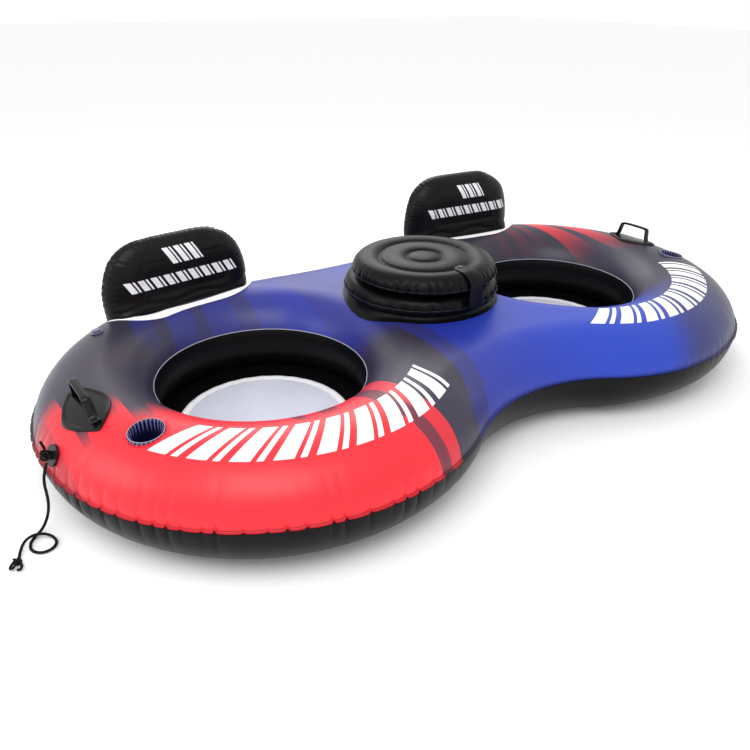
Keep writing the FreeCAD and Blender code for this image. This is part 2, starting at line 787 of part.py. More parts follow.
knot_at = eye_at + out_of_eye * number("KnotOut")
knot = capsule("tow_knot", "KnotRadius", "KnotLength", knot_at, 0, 0)
tail = cylinder("knot_tail", "RopeDiameter / 2", "KnotTail", knot_at)
keep("rope_tie_knot", fuse("rope_tie_knot", [knot, tail]))
end_knot = capsule("end_knot", "EndKnotRadius", "EndKnotLength", spot(-1362, -150, 8.6), 70, 90)
keep("rope_end_knot", end_knot)


# ---------------------------------------------------------------- cooler
def ring_pillow(name, inner, outer, height, at):
    """A ring of air with a rounded section."""
    body = new_body(name)
    sketch = new_sketch(body, "XZ_Plane")
    polygon(sketch, [(inner, "0"), (outer, "0"), (outer, height), (inner, height)])
    revolve(body, sketch)
    fillet(body, height + " / 2 - FitGap", lambda edge: edge.Closed)
    body.Placement.Base = at
    doc.recompute()
    return keep(name, body)


collar_at = spot(0, number("CollarBack"), number("CollarBottom"))
collar = ring_pillow("cooler_collar", "CollarInner", "CollarRadius", "CollarHeight", collar_at)

liner = new_body("cooler_liner")
sketch = new_sketch(liner)
circle(sketch, "0", "0", "LinerRadius")
pad(liner, sketch, "LinerTop - LinerBottom")
sketch = new_sketch(liner, lift="LinerTop - LinerBottom")
circle(sketch, "0", "0", "LinerRadius - LinerWall")
pocket(liner, sketch, "LinerTop - LinerBottom - LinerWall", upward=False)
liner.Placement.Base = spot(0, number("CollarBack"), number("LinerBottom"))
keep("cooler_liner", liner)

skirt_height = "CollarBottom + 1 - SkirtFoot"
skirt_at = spot(0, number("CollarBack"), number("SkirtFoot"))
skirt_solid = cylinder("skirt_solid", "CoolerSkirtRadius", skirt_height, skirt_at)
skirt_hollow = cylinder("skirt_hollow", "CoolerSkirtRadius - SkirtFilm", skirt_height, skirt_at)
skirt_band = boolean("Cut", "skirt_band", skirt_solid, skirt_hollow)
skirt_over_tube = boolean("Cut", "skirt_over_tube", skirt_band, tube_outside)
keep("cooler_skirt", boolean("Cut", "cooler_skirt", skirt_over_tube, collar))

lid_at = spot(0, number("LidBack"), number("LidBottom"))
lid = new_body("cooler_lid")
sketch = new_sketch(lid)
circle(sketch, "0", "0", "LidRadius")
pad(lid, sketch, "LidHeight")
fillet(lid, "LidHeight / 2 - FitGap", lambda edge: edge.Closed)
sketch = new_sketch(lid, "XZ_Plane")
circle(sketch, "LidGroove", "LidHeight", "LidGrooveDepth")
circle(sketch, "LidButton", "LidHeight", "LidGrooveDepth")
groove(lid, sketch)
lid.Placement.Base = lid_at
keep("cooler_lid", lid)

hinge_y = number("LidBack + LidRadius + HingeBehindLid")
hinge_z = number("LidBottom - 2")
flap_half = number("HingeWidth") / 2
foot_z = number("CollarBottom + CollarHeight")
keep("hinge_flap_foot", box("hinge_flap_foot", "HingeWidth", "HingeFoot",
                            "LidBottom - 2.6 - CollarBottom - CollarHeight",
                            spot(-flap_half, hinge_y - number("HingeFoot / 2"), foot_z)))
keep("hinge_flap_strip", box("hinge_flap_strip", "HingeWidth", "HingeStripLength",
                             "HingeStripThickness",
                             spot(-flap_half, hinge_y - number("HingeStripLength + HingeFoot"),
                                  number("LidBottom - HingeStripThickness"))))


def strap_arc(name, start, degrees):
    """A piece of the strap's bend round the lid's edge, in the strap's own frame."""
    arcs = []
    for radius in ("LidHeight / 2 + StrapGap + StrapThickness", "LidHeight / 2 + StrapGap"):
        sector = cylinder("strap_sector", radius, "StrapWidth")
        sector.Angle = degrees
        arcs.append(sector)
    bent = boolean("Cut", name, arcs[0], arcs[1])
    stand = FreeCAD.Rotation(X_AXIS, 90).multiply(FreeCAD.Rotation(Z_AXIS, start))
    across = number("StrapWidth") / 2
    bent.Placement = FreeCAD.Placement(spot(bend_centre, across, number("LidHeight") / 2), stand)
    doc.recompute()
    return bent


# The strap is drawn with its length along +X, then turned to the front of the lid.
bend_centre = number("LidRadius - LidHeight / 2 + HingeBehindLid")
strap_half = number("StrapWidth") / 2
bend_inner = number("LidHeight / 2 + StrapGap")
tab_flat = box("tab_flat", "%f - StrapTabStart" % bend_centre, "StrapWidth", "StrapThickness",
               spot(number("StrapTabStart"), -strap_half, number("LidHeight + StrapGap")))
tab = fuse("latch_tab", [tab_flat, strap_arc("tab_bend", 50, 40)])
tail_flat = box("tail_flat", "StrapThickness", "StrapWidth", "LidHeight / 2 + StrapTailDrop",
                spot(bend_centre + bend_inner, -strap_half, -number("StrapTailDrop")))
tail = fuse("latch_strap", [tail_flat, strap_arc("tail_bend", 0, 45)])
snap = cylinder("latch_snap", "SnapRadius", "SnapHeight",
                spot(number("SnapAt"), 0, number("LidHeight + StrapThickness + StrapGap")))
front = number("StrapTurn") - 90
for name, piece in (("latch_tab", tab), ("latch_strap", tail), ("latch_snap", snap)):
    turned = FreeCAD.Placement(lid_at, FreeCAD.Rotation(Z_AXIS, front))
    piece.Placement = turned.multiply(piece.Placement)
    doc.recompute()
    keep(name, piece)

# the lid fills through its underside, the collar through its back
valve("lid", lid_at - spot(number("LidValveSide")), 0, 180, lid)
COLLAR_VALVE_ANGLE = 60
around = FreeCAD.Rotation(Z_AXIS, COLLAR_VALVE_ANGLE)
half_way = number("CollarHeight / 2")
collar_valve_at = collar_at + around.multVec(spot(number("CollarRadius"), 0, half_way))
valve("collar", collar_valve_at, COLLAR_VALVE_ANGLE, 90, collar, sink=number("CollarValveSink"))


# ---------------------------------------------------------------- checks and files
def check_and_write():
    for feature in doc.Objects:
        if "Invalid" in feature.State or "Error" in feature.State:
            raise RuntimeError("%s (%s): %s" % (feature.Name, feature.Label, feature.State))
    os.makedirs("parts", exist_ok=True)
    for name, feature in NODES.items():
        shape = feature.Shape
        if shape.isNull() or not shape.isValid() or not shape.Solids:
            raise RuntimeError(name + ": no valid solid")
        shape.exportStep("parts/%s.step" % name)
    print(len(NODES), "nodes")


check_and_write()
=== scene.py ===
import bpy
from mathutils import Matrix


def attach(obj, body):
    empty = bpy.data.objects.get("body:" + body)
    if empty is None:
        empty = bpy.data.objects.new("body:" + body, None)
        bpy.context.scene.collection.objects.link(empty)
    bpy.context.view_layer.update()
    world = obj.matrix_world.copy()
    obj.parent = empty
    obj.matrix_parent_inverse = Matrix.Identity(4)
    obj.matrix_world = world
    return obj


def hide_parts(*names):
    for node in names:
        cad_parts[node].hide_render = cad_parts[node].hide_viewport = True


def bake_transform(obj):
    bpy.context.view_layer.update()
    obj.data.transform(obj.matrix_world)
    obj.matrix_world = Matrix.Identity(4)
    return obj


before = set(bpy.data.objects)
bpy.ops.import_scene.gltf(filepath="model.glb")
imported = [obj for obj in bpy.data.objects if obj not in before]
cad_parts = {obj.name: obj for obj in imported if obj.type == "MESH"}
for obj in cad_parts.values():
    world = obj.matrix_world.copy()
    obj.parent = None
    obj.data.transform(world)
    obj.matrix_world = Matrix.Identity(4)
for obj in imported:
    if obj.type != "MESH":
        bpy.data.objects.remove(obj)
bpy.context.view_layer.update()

import random
from math import asin, atan2, copysign, cos, exp, hypot, pi, radians, sin, sqrt

import bpy
import numpy as np
from mathutils import Matrix, Vector
from mathutils.geometry import delaunay_2d_cdt

TAU = 2 * pi
UP = Vector((0, 0, 1))
SIDES = {"left": -1, "right": 1}

# ---- camera


def aim_camera():
    azimuth, elevation, roll = radians(-36.178), radians(28.744), 0.014
    back = Vector((sin(azimuth) * cos(elevation), -cos(azimuth) * cos(elevation), sin(elevation)))
    target, distance = Vector((-0.3496, -0.1703, 0.2)), 2.086
    right = UP.cross(back).normalized()
    up = back.cross(right)
    across = right * cos(roll) + up * sin(roll)
    over = up * cos(roll) - right * sin(roll)
    data = bpy.data.cameras.new("camera")
    data.sensor_width = 36
    data.lens = 34.265
    data.clip_end = 50
    camera = bpy.data.objects.new("camera", data)
    turn = Matrix((across, over, back)).transposed().to_4x4()
    camera.matrix_world = Matrix.Translation(target + back * distance) @ turn
    bpy.context.collection.objects.link(camera)
    bpy.context.scene.camera = camera


aim_camera()

# ---- meshes


def around(count):
    """The angles of points spread evenly round a circle."""
    return [TAU * j / count for j in range(count)]


def on_circle(centre, radius, angle):
    return centre[0] + radius * cos(angle), centre[1] + radius * sin(angle)


def add_piece(name, points, faces, material):
    mesh = bpy.data.meshes.new(name)
    mesh.from_pydata([tuple(p) for p in points], [], faces)
    mesh.validate()
    mesh.update()
    mesh.polygons.foreach_set("use_smooth", [True] * len(mesh.polygons))
    mesh.materials.append(material)
    piece = bpy.data.objects.new(name, mesh)
    bpy.context.collection.objects.link(piece)
    return piece


def dress(piece, body, slot, *nodes):
    """Puts a piece on the body it rides on and hides the nodes it replaces. The slot is not used.
    """
    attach(piece, body)
    if nodes:
        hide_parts(*nodes)


def grid_faces(rows, columns, wrap=False, start=0, flip=False):
    """Quads over points laid out row by row; wrap joins the last column to the first."""
    faces = []
    for i in range(rows - 1):
        for j in range(columns if wrap else columns - 1):
            k = (j + 1) % columns
            a, b = start + i * columns + j, start + i * columns + k
            quad = (a, b, b + columns, a + columns)
            faces.append(quad[::-1] if flip else quad)
    return faces


def lathe(name, centre, profile, columns, material, warp=None, flip=False):
    """A turned piece. profile is (radius, height); warp moves a point by its angle and row."""
    points = []
    for row, (radius, height) in enumerate(profile):
        for angle in around(columns):
            r, z = (radius, height) if warp is None else warp(angle, row, radius, height)
            points.append((*on_circle(centre, r, angle), z))
    faces = grid_faces(len(profile), columns, wrap=True, flip=flip)
    return add_piece(name, points, faces, material)


def rings_along(path, outline, closed=False):
    """Rings of points square to a path. outline(i) gives a ring as (across, over) pairs."""
    count = len(path)
    tangents = []
    for i in range(count):
        ahead = path[(i + 1) % count] if closed or i + 1 < count else path[i]
        behind = path[i - 1] if closed or i > 0 else path[i]
        tangents.append((ahead - behind).normalized())
    side = tangents[0].orthogonal().normalized()
    sides = [side]
    for i in range(1, count):
        side = sides[-1] - tangents[i] * sides[-1].dot(tangents[i])
        sides.append(side.normalized())
    if closed:
        twist = atan2(
            tangents[0].cross(sides[-1]).dot(sides[0]), sides[-1].dot(sides[0])
        )
        for i in range(count):
            sides[i] = Matrix.Rotation(twist * i / count, 3, tangents[i]) @ sides[i]
    points = []
    for i in range(count):
        over = tangents[i].cross(sides[i])
        for u, v in outline(i):
            points.append(path[i] + sides[i] * u + over * v)
    return points


def tube(name, path, radius, material, columns=12, closed=False, relief=None):
    """A round tube on a path; relief(i, angle) scales its radius."""
    count = len(path)

    def outline(i):
        end = 1.0
        if not closed:
            end = min(1.0, 0.35 + 0.5 * min(i, count - 1 - i))
        ring = []
        for angle in around(columns):
            r = radius * end * (relief(i, angle) if relief else 1.0)
            ring.append((r * cos(angle), r * sin(angle)))
        return ring

    points = rings_along(path, outline, closed)
    if closed:
        faces = grid_faces(count + 1, columns, wrap=True)
        faces = [tuple(v % len(points) for v in face) for face in faces]
    else:
        faces = grid_faces(count, columns, wrap=True) + end_caps(points, columns)
    return add_piece(name, points, faces, material)


def end_caps(points, columns):
    """The two faces that close a run of rings."""
    count = len(points)
    return [tuple(range(columns))[::-1], tuple(range(count - columns, count))]


def rim_line(centre, warp, row, place, count, clear=0.0):
    """A line round a turned piece, clear of it, at a (radius, height) of one of its rows."""
    line = []
    for angle in around(count):
        r, z = warp(angle, row, *place)
        line.append(Vector((*on_circle(centre, r + clear, angle), z)))
    return line


def slab(name, rows, thickness, material):
    """A thin closed sheet over a grid of points, thickened to both sides."""
    height, width = len(rows), len(rows[0])
    upper, lower = [], []
    for i, row in enumerate(rows):
        for j, point in enumerate(row):
            along = rows[min(i + 1, height - 1)][j] - rows[max(i - 1, 0)][j]
            across = row[min(j + 1, width - 1)] - row[max(j - 1, 0)]
            out = across.cross(along)
            out = out.normalized() if out.length > 1e-9 else UP
            upper.append(point + out * thickness / 2)
            lower.append(point - out * thickness / 2)
    count = height * width
    faces = grid_faces(height, width) + grid_faces(height, width, start=count, flip=True)
    rim = list(range(width))
    rim += [i * width + width - 1 for i in range(1, height)]
    rim += [(height - 1) * width + j for j in range(width - 2, -1, -1)]
    rim += [i * width for i in range(height - 2, 0, -1)]
    for a, b in zip(rim, rim[1:] + rim[:1]):
        faces.append((b, a, a + count, b + count))
    return add_piece(name, upper + lower, faces, material)


def length_of(path):
    return sum((b - a).length for a, b in zip(path, path[1:]))


def smooth_path(corners, rounds=3, closed=False):
    """A path through a few corners, rounded by cutting them."""
    path = [Vector(c) for c in corners]
    for _ in range(rounds):
        count = len(path)
        cut = [] if closed else [path[0]]
        for i in range(count if closed else count - 1):
            a, b = path[i], path[(i + 1) % count]
            cut += [a.lerp(b, 0.25), a.lerp(b, 0.75)]
        if not closed:
            cut.append(path[-1])
        path = cut
    return path


def flat_path(corners, rounds=3, closed=False):
    """A rounded path through corners of the plan."""
    return smooth_path([(u, v, 0) for u, v in corners], rounds, closed)


def quarter_circle(t):
    """1 at 0, falling in a round to 0 at 1."""
    return sqrt(max(0.0, 1 - t ** 2))


def hump(away, width):
    """1 at a place, fading over a width to both sides of it."""
    return exp(-((away / width) ** 2))


def smoothstep(value, low, high):
    t = min(1.0, max(0.0, (value - low) / (high - low)))
    return t * t * (3 - 2 * t)


# ---- shaders


def add_node(tree, kind, **inputs):
    """A shader node, with a value or a field on each input named."""
    node = tree.nodes.new("ShaderNode" + kind)
    for name, value in inputs.items():
        put(node.inputs[name.replace("_", " ")], value)
    return node


def put(socket, value):
    if isinstance(value, Field):
        value.tree.links.new(value.socket, socket)
    else:
        socket.default_value = value


class Field:
    """A value that varies over a surface, so that shader formulas read as formulas."""

    def __init__(self, tree, socket):
        self.tree = tree
        self.socket = socket

    def calc(self, operation, *others):
        node = add_node(self.tree, "Math")
        node.operation = operation
        for place, value in enumerate((self,) + others):
            put(node.inputs[place], value)
        return Field(self.tree, node.outputs[0])

    def __add__(self, other):
        return self.calc("ADD", other)

    def __sub__(self, other):
        return self.calc("SUBTRACT", other)

    def __mul__(self, other):
        return self.calc("MULTIPLY", other)

    def __truediv__(self, other):
        return self.calc("DIVIDE", other)

    def __abs__(self):
        return self.calc("ABSOLUTE")

    def top(self, other):
        return self.calc("MAXIMUM", other)

    def part(self):
        return self.calc("FRACT")

    def sine(self):
        return self.calc("SINE")

    def step(self, start, end):
        """0 before start, 1 after end, smooth between; start may be the larger."""
        first, last = (0.0, 1.0) if end > start else (1.0, 0.0)
        node = add_node(self.tree, "MapRange", Value=self, From_Min=min(start, end),
                        From_Max=max(start, end), To_Min=first, To_Max=last)
        node.interpolation_type = "SMOOTHSTEP"
        return Field(self.tree, node.outputs["Result"])

    def within(self, start, end, edge):
        return self.step(start - edge, start + edge) * self.step(end + edge, end - edge)

    def curve(self, stops, interpolation="LINEAR"):
        """The value at this place along stops, a list of (place, value)."""
        places, values = zip(*stops)
        first, span = places[0], places[-1] - places[0]
        least, reach = min(values), (max(values) - min(values)) or 1.0
        node = add_node(self.tree, "ValToRGB", Fac=(self - first) * (1 / span))
        node.color_ramp.interpolation = interpolation
        steps = node.color_ramp.elements
        while len(steps) < len(stops):
            steps.new(0.5)
        for i, (place, value) in enumerate(stops):
            steps[i].position = (place - first) / span
            shade = (value - least) / reach
            steps[i].color = (shade, shade, shade, 1)
        return Field(self.tree, node.outputs["Color"]) * reach + least


def srgb(red, green, blue):
    linear = []
    for value in (red, green, blue):
        value /= 255
        linear.append(value / 12.92 if value <= 0.04045 else ((value + 0.055) / 1.055) ** 2.4)
    return tuple(linear) + (1.0,)


MOTTLE = 0.1  # how much the roughness varies over a surface


class Paint:
    """A material being made: its shader, its coordinates and what is laid on it."""

    def __init__(self, name):
        self.material = bpy.data.materials.new(name)
        self.material.use_nodes = True
        self.tree = self.material.node_tree
        self.shader = self.tree.nodes["Principled BSDF"]
        place = add_node(self.tree, "TexCoord")
        self.place = Field(self.tree, place.outputs["Object"])
        split = add_node(self.tree, "SeparateXYZ", Vector=self.place)
        self.x, self.y, self.z = [Field(self.tree, out) for out in split.outputs]

    def noise(self, scale, detail=2.0, roughness=0.5):
        node = add_node(self.tree, "TexNoise", Vector=self.place, Scale=scale,
                        Detail=detail, Roughness=roughness)
        return Field(self.tree, node.outputs[0])

    def mix(self, factor, first, second):
        node = add_node(self.tree, "Mix")
        node.data_type = "RGBA"
        for place, value in ((0, factor), (6, first), (7, second)):
            put(node.inputs[place], value)
        return Field(self.tree, node.outputs[2])

    def polar(self, centre):
        """Distance and angle round a point of the plan."""
        x, y = self.x - centre[0], self.y - centre[1]
        return (x * x + y * y).calc("SQRT"), y.calc("ARCTAN2", x)

    def polar_each_side(self, left, right):
        """Distance and angle round the left point on the left, the right one on the right."""
        side = self.x.step(-0.01, 0.01)
        return self.polar([side * (b - a) + a for a, b in zip(left, right)])

    def finish(self, colour, roughness, grain=0.0001, grain_scale=900,
               waves=0.0, wave_scale=7, relief=None, gloss=0.5):
        """Lays colour, a mottled roughness and a bump on the shader."""
        mottle = self.noise(18, 4, 0.6) * MOTTLE + (roughness - MOTTLE / 2)
        height = self.noise(grain_scale, 3, 0.6) * grain
        if waves:
            height = height + self.noise(wave_scale, 2, 0.4) * waves
        if relief is not None:
            height = height + relief
        bump = add_node(self.tree, "Bump", Strength=1.0, Distance=1.0, Height=height)
        for name, value in {
            "Base Color": colour, "Specular IOR Level": gloss, "Roughness": mottle,
            "Normal": Field(self.tree, bump.outputs[0]),
        }.items():
            put(self.shader.inputs[name], value)
        return self.material

    def shade(self, colour, amount=0.25, scale=9):
        """A colour with soft lighter and darker areas."""
        dark = tuple(c * (1 - amount) for c in colour[:3]) + (1.0,)
        light = tuple(min(1.0, c * (1 + amount)) for c in colour[:3]) + (1.0,)
        return self.mix(self.noise(scale, 3, 0.55).step(0.3, 0.7), dark, light)


# ---- the tube's shape

RING_X, RING_R = 0.6056, 0.6384
WAIST_R, BACK_WAIST_R = 0.478, 1.800
HALF_HEIGHT = 0.148
SEAT_X, SEAT_Y, SEAT_R = 0.6132, 0.028, 0.298
WELL = (0.0, 0.062, 0.190)
CUPS = {"left": (-1.0416, -0.2279), "right": (1.0673, -0.1699)}
CUP_HOLE, CUP_RIBS = 0.043, 26
SEAM_Z, SEAT_SEAM_Z = 0.168, 0.197
BAND_END = radians(58)
FLANGE = 0.006
SEAT_COLUMNS = 168


def waist_y(radius):
    """How far from the middle a waist's arc has its centre."""
    return sqrt((RING_R + radius) ** 2 - RING_X ** 2)


def from_outline(x, y):
    radius = np.where(y > 0, BACK_WAIST_R, WAIST_R)
    centre = np.where(y > 0, waist_y(BACK_WAIST_R), waist_y(WAIST_R))
    in_waist = np.abs(x) < RING_X * (1 - np.abs(y) / centre)
    waist = np.hypot(x, centre - np.abs(y)) - radius
    ring = RING_R - np.hypot(np.abs(x) - RING_X, y)
    return np.where(in_waist, waist, ring)


def from_seat(x, y):
    return np.hypot(np.abs(x) - SEAT_X, y - SEAT_Y) - SEAT_R


def half_width(x, y):
    """How far in from an edge the tube reaches its full height."""
    t = np.clip((np.abs(x) - 0.3) / 0.2, 0, 1)
    cap = 0.150 + 0.04 * t * t * (3 - 2 * t)
    middle = (from_outline(x, y) + from_seat(x, y)) / 2
    blend = 0.02
    h = np.clip(0.5 + 0.5 * (cap - middle) / blend, 0, 1)
    return cap * (1 - h) + middle * h - blend * h * (1 - h)


def inset(x, y):
    return np.minimum(from_outline(x, y), from_seat(x, y)) / half_width(x, y)


def top_of_tube(x, y):
    t = np.clip(inset(x, y), 0, 1)
    return HALF_HEIGHT + HALF_HEIGHT * np.sqrt(np.clip(1 - (1 - t) ** 2, 0, 1))


def top_at(x, y):
    return float(top_of_tube(x, y))


def surface(x, y, lift):
    return Vector((x, y, top_at(x, y) + lift))

HOLES = [WELL] + [(*CUPS[side], CUP_HOLE) for side in CUPS]
HOLE_BOTTOMS = (0.262, 0.270, 0.270)

LEAN = atan2(waist_y(WAIST_R), RING_X)
BACK_LEAN = atan2(waist_y(BACK_WAIST_R), RING_X)
ARCS = [
    ((RING_X, 0.0), RING_R, LEAN - pi, TAU - LEAN - BACK_LEAN),
    ((0.0, waist_y(BACK_WAIST_R)), BACK_WAIST_R, -BACK_LEAN, 2 * BACK_LEAN - pi),
    ((-RING_X, 0.0), RING_R, BACK_LEAN, TAU - LEAN - BACK_LEAN),
    ((0.0, -waist_y(WAIST_R)), WAIST_R, pi - LEAN, 2 * LEAN - pi),
]
OUTLINE_LENGTH = sum(radius * abs(sweep) for _, radius, _, sweep in ARCS)


def outline_at(distance):
    """The outline's point, its inward normal, and whether that is on a ring."""
    distance %= OUTLINE_LENGTH
    for number, (centre, radius, start, sweep) in enumerate(ARCS):
        length = radius * abs(sweep)
        if distance <= length or number == len(ARCS) - 1:
            angle = start + sweep * distance / length
            sign = -1 if sweep > 0 else 1
            inward = (sign * cos(angle), sign * sin(angle))
            return on_circle(centre, radius, angle), inward, sweep > 0
        distance -= length


def gather_strength(point):
    """How strongly the weld gathers the skin: not at the waist, most at the ends."""
    x, y = point
    if x < 0:
        return smoothstep(-x, 0.30, 0.55)
    return 0.15 * smoothstep(x, 0.30, 0.45) + 0.85 * smoothstep(x, 0.50, 0.95)


def place_pinches():
    """Where the weld pinches the skin, as (distance, strength)."""
    draw = random.Random(11)
    pinches, distance = [], 0.0
    while distance < OUTLINE_LENGTH - 0.02:
        point, _, on_ring = outline_at(distance)
        strength = gather_strength(point) if on_ring else 0.0
        if strength > 0.02:
            depth = draw.choice((0.45, 0.65, 0.85, 1.0)) * draw.uniform(0.8, 1.0)
            pinches.append((distance, strength * depth))
        near, far = (0.026, 0.062) if point[0] < 0 else (0.022, 0.046)
        distance += draw.uniform(near, far)
    return pinches


PINCHES = place_pinches()
PLAIN_GAP = 0.1  # pinches this far apart have plain skin between them


def gather_columns():
    """Distances along the outline, closer together at the pinches, with each one's gaps."""
    columns = []
    stops = PINCHES + [(PINCHES[0][0] + OUTLINE_LENGTH, PINCHES[0][1])]
    for (start, first), (end, second) in zip(stops, stops[1:]):
        gap = end - start
        gathered = gap < PLAIN_GAP
        count = max(8, round(gap / 0.0052)) if gathered else round(gap / 0.009)
        for j in range(count):
            t = (1 - cos(pi * j / count)) / 2 if gathered else j / count
            columns.append((start + gap * t, start, end, first, second))
    return columns


COLUMNS = gather_columns()
SWELL, SWELL_DROP = 0.0020, 0.0014  # the skin between two pinches: out and down
CREASE, CREASE_LIFT = 0.0058, 0.0036  # the skin at a pinch: in and up


def gathers(up):
    """How far the skin stands out and is lifted at a distance up from the seam."""
    out, lift = [], []
    for at, start, end, first, second in COLUMNS:
        gap = end - start
        t = (at - start) / gap
        size = min(1.0, gap / 0.05) * (first + second) / 2 if gap < PLAIN_GAP else 0.0
        bulge = size * sin(pi * t) ** 0.8
        crease = 0.0
        for strength, away in ((first, at - start), (second, end - at)):
            width = 0.0026 + 0.10 * up
            reach = 0.012 + 0.034 * strength
            crease += strength * hump(away, width) * exp(-up / reach)
        out.append(SWELL * bulge * hump(up, 0.040) - CREASE * crease)
        lift.append((CREASE_LIFT * crease - SWELL_DROP * bulge) * hump(up, 0.018))
    return np.array(out), np.array(lift)


def depth_at(edge, inward, phi):
    """How far in from an edge the round side of the tube is at an angle phi up it."""
    depth = np.zeros(len(edge))
    for _ in range(7):
        flat = edge + inward * depth[:, None]
        depth = (1 - cos(phi)) * half_width(flat[:, 0], flat[:, 1])
    return depth


def outline_band(upper):
    """Rows of points from the flange's edge up, or down, the side of the tube."""
    placed = [outline_at(column[0]) for column in COLUMNS]
    edge = np.array([p[0] for p in placed])
    inward = np.array([p[1] for p in placed])
    sign = 1 if upper else -1
    seam = asin((SEAM_Z - HALF_HEIGHT) / HALF_HEIGHT)
    end = BAND_END if upper else -BAND_END
    rows = []
    out, lift = gathers(0.0)
    skin = 0.0006 * sign
    for width in (FLANGE, FLANGE * 0.5):
        flat = edge - inward * (width + out)[:, None]
        rows.append(np.column_stack([flat, SEAM_Z + skin + lift * 1.2]))
    count = 26 if upper else 30
    for k in range(count + 1):
        phi = seam + (end - seam) * (k / count) ** 1.35
        depth = depth_at(edge, inward, phi)
        out, lift = gathers(abs(phi - seam) * HALF_HEIGHT)
        flat = edge + inward * (depth - out * cos(phi))[:, None]
        z = HALF_HEIGHT + HALF_HEIGHT * sin(phi) + out * sin(phi) + lift
        if k == 0:
            z = z + skin
        rows.append(np.column_stack([flat, z]))
    return rows


def seat_band(side, upper):
    """Rows of points from the seat hole's seam up, or down, the wall of the hole."""
    angles = np.arange(SEAT_COLUMNS) * TAU / SEAT_COLUMNS
    outward = np.column_stack([np.cos(angles), np.sin(angles)])
    edge = np.array([side * SEAT_X, SEAT_Y]) + outward * SEAT_R
    seam = asin((SEAT_SEAM_Z - HALF_HEIGHT) / HALF_HEIGHT)
    end = BAND_END if upper else -BAND_END
    steps = 14 if upper else 26
    rows = []
    for k in range(steps + 1):
        phi = seam + (end - seam) * k / steps
        depth = depth_at(edge, outward, phi)
        fade = exp(-abs(phi - seam) * HALF_HEIGHT / 0.03)
        ripple = 0.0002 * fade * (np.sin(angles * 31) + 0.6 * np.sin(angles * 47 + side))
        flat = edge + outward * (depth + ripple)[:, None]
        z = np.full(SEAT_COLUMNS, HALF_HEIGHT + HALF_HEIGHT * sin(phi))
        rows.append(np.column_stack([flat, z]))
    return rows


def build_skin(upper, material):
    """One skin of the tube: its outer side, the walls of the seat holes, and the rest between."""
    points, faces, loops = [], [], []

    def add_band(rows, flip):
        start, columns = len(points), len(rows[0])
        for row in rows:
            points.extend(row.tolist())
        faces.extend(grid_faces(len(rows), columns, wrap=True, start=start, flip=flip))
        last = start + (len(rows) - 1) * columns
        loops.append(list(range(last, last + columns)))

    add_band(outline_band(upper), not upper)
    for side in (-1, 1):
        add_band(seat_band(side, upper), upper)
    if upper:
        for (x, y, radius), bottom in zip(HOLES, HOLE_BOTTOMS):
            angles = around(96 if radius > 0.1 else 48)
            ring = [on_circle((x, y), radius, angle) for angle in angles]
            rows = [[(u, v, bottom) for u, v in ring], [(u, v, top_at(u, v)) for u, v in ring]]
            add_band([np.array(row) for row in rows], True)
    end = 1 - cos(BAND_END)
    flat = [Vector(points[i][:2]) for loop in loops for i in loop]
    source = [i for loop in loops for i in loop]
    edges, first = [], 0
    for loop in loops:
        count = len(loop)
        edges += [(first + i, first + (i + 1) % count) for i in range(count)]
        first += count
    step, margin = 0.0125, 0.006
    ys = np.arange(-0.62, 0.62, step * 0.866)  # rows of triangles with equal sides
    for number, y in enumerate(ys):
        xs = np.arange(-1.24, 1.24, step) + (step / 2 if number % 2 else 0)
        room = (inset(xs, y) - end) * half_width(xs, y)
        good = room > margin
        if upper:
            for x0, y0, radius in HOLES:
                good &= np.hypot(xs - x0, y - y0) > radius + 0.005
        flat += [Vector((float(x), float(y))) for x in xs[good]]
    result = delaunay_2d_cdt(flat, edges, [], 0, 1e-7)
    places, triangles, origins = result[0], result[2], result[3]
    index = []
    for place, origin in zip(places, origins):
        known = [o for o in origin if o < len(source)]
        if known:
            index.append(source[known[0]])
            continue
        z = top_at(place.x, place.y)
        index.append(len(points))
        points.append((place.x, place.y, z if upper else 2 * HALF_HEIGHT - z))
    for triangle in triangles:
        x = sum(places[i].x for i in triangle) / 3
        y = sum(places[i].y for i in triangle) / 3
        if float((inset(x, y) - end) * half_width(x, y)) < 0.0005:
            continue
        if upper and any(hypot(x - x0, y - y0) < radius for x0, y0, radius in HOLES):
            continue
        face = tuple(index[i] for i in triangle)
        faces.append(face if upper else face[::-1])
    name, slot, node = (
        ("tube_top", "printed_vinyl", "top_skin") if upper
        else ("tube_bottom", "black_vinyl", "bottom_skin")
    )
    dress(add_piece(name, points, faces, material), "tube", slot, node)


# ---- materials

RED, BLUE = srgb(232, 36, 48), srgb(30, 60, 172)
CHARCOAL, WHITE = srgb(48, 42, 56), srgb(244, 244, 246)
BLACK = srgb(10, 10, 12)


def slanted_bars(along, across, pitch, edges, ends):
    """White slanted bars in a row: a broad and a narrow one to each pitch."""
    low, high = edges
    cell = ((along + across * 0.55 - ends[0]) / pitch).part()
    bars = cell.within(0.08, 0.56, 0.012).top(cell.within(0.70, 0.86, 0.012))
    row = across.within(low, high, 0.0012)
    return bars * row * (along + across * 0.55).within(ends[0], ends[1], 0.001)


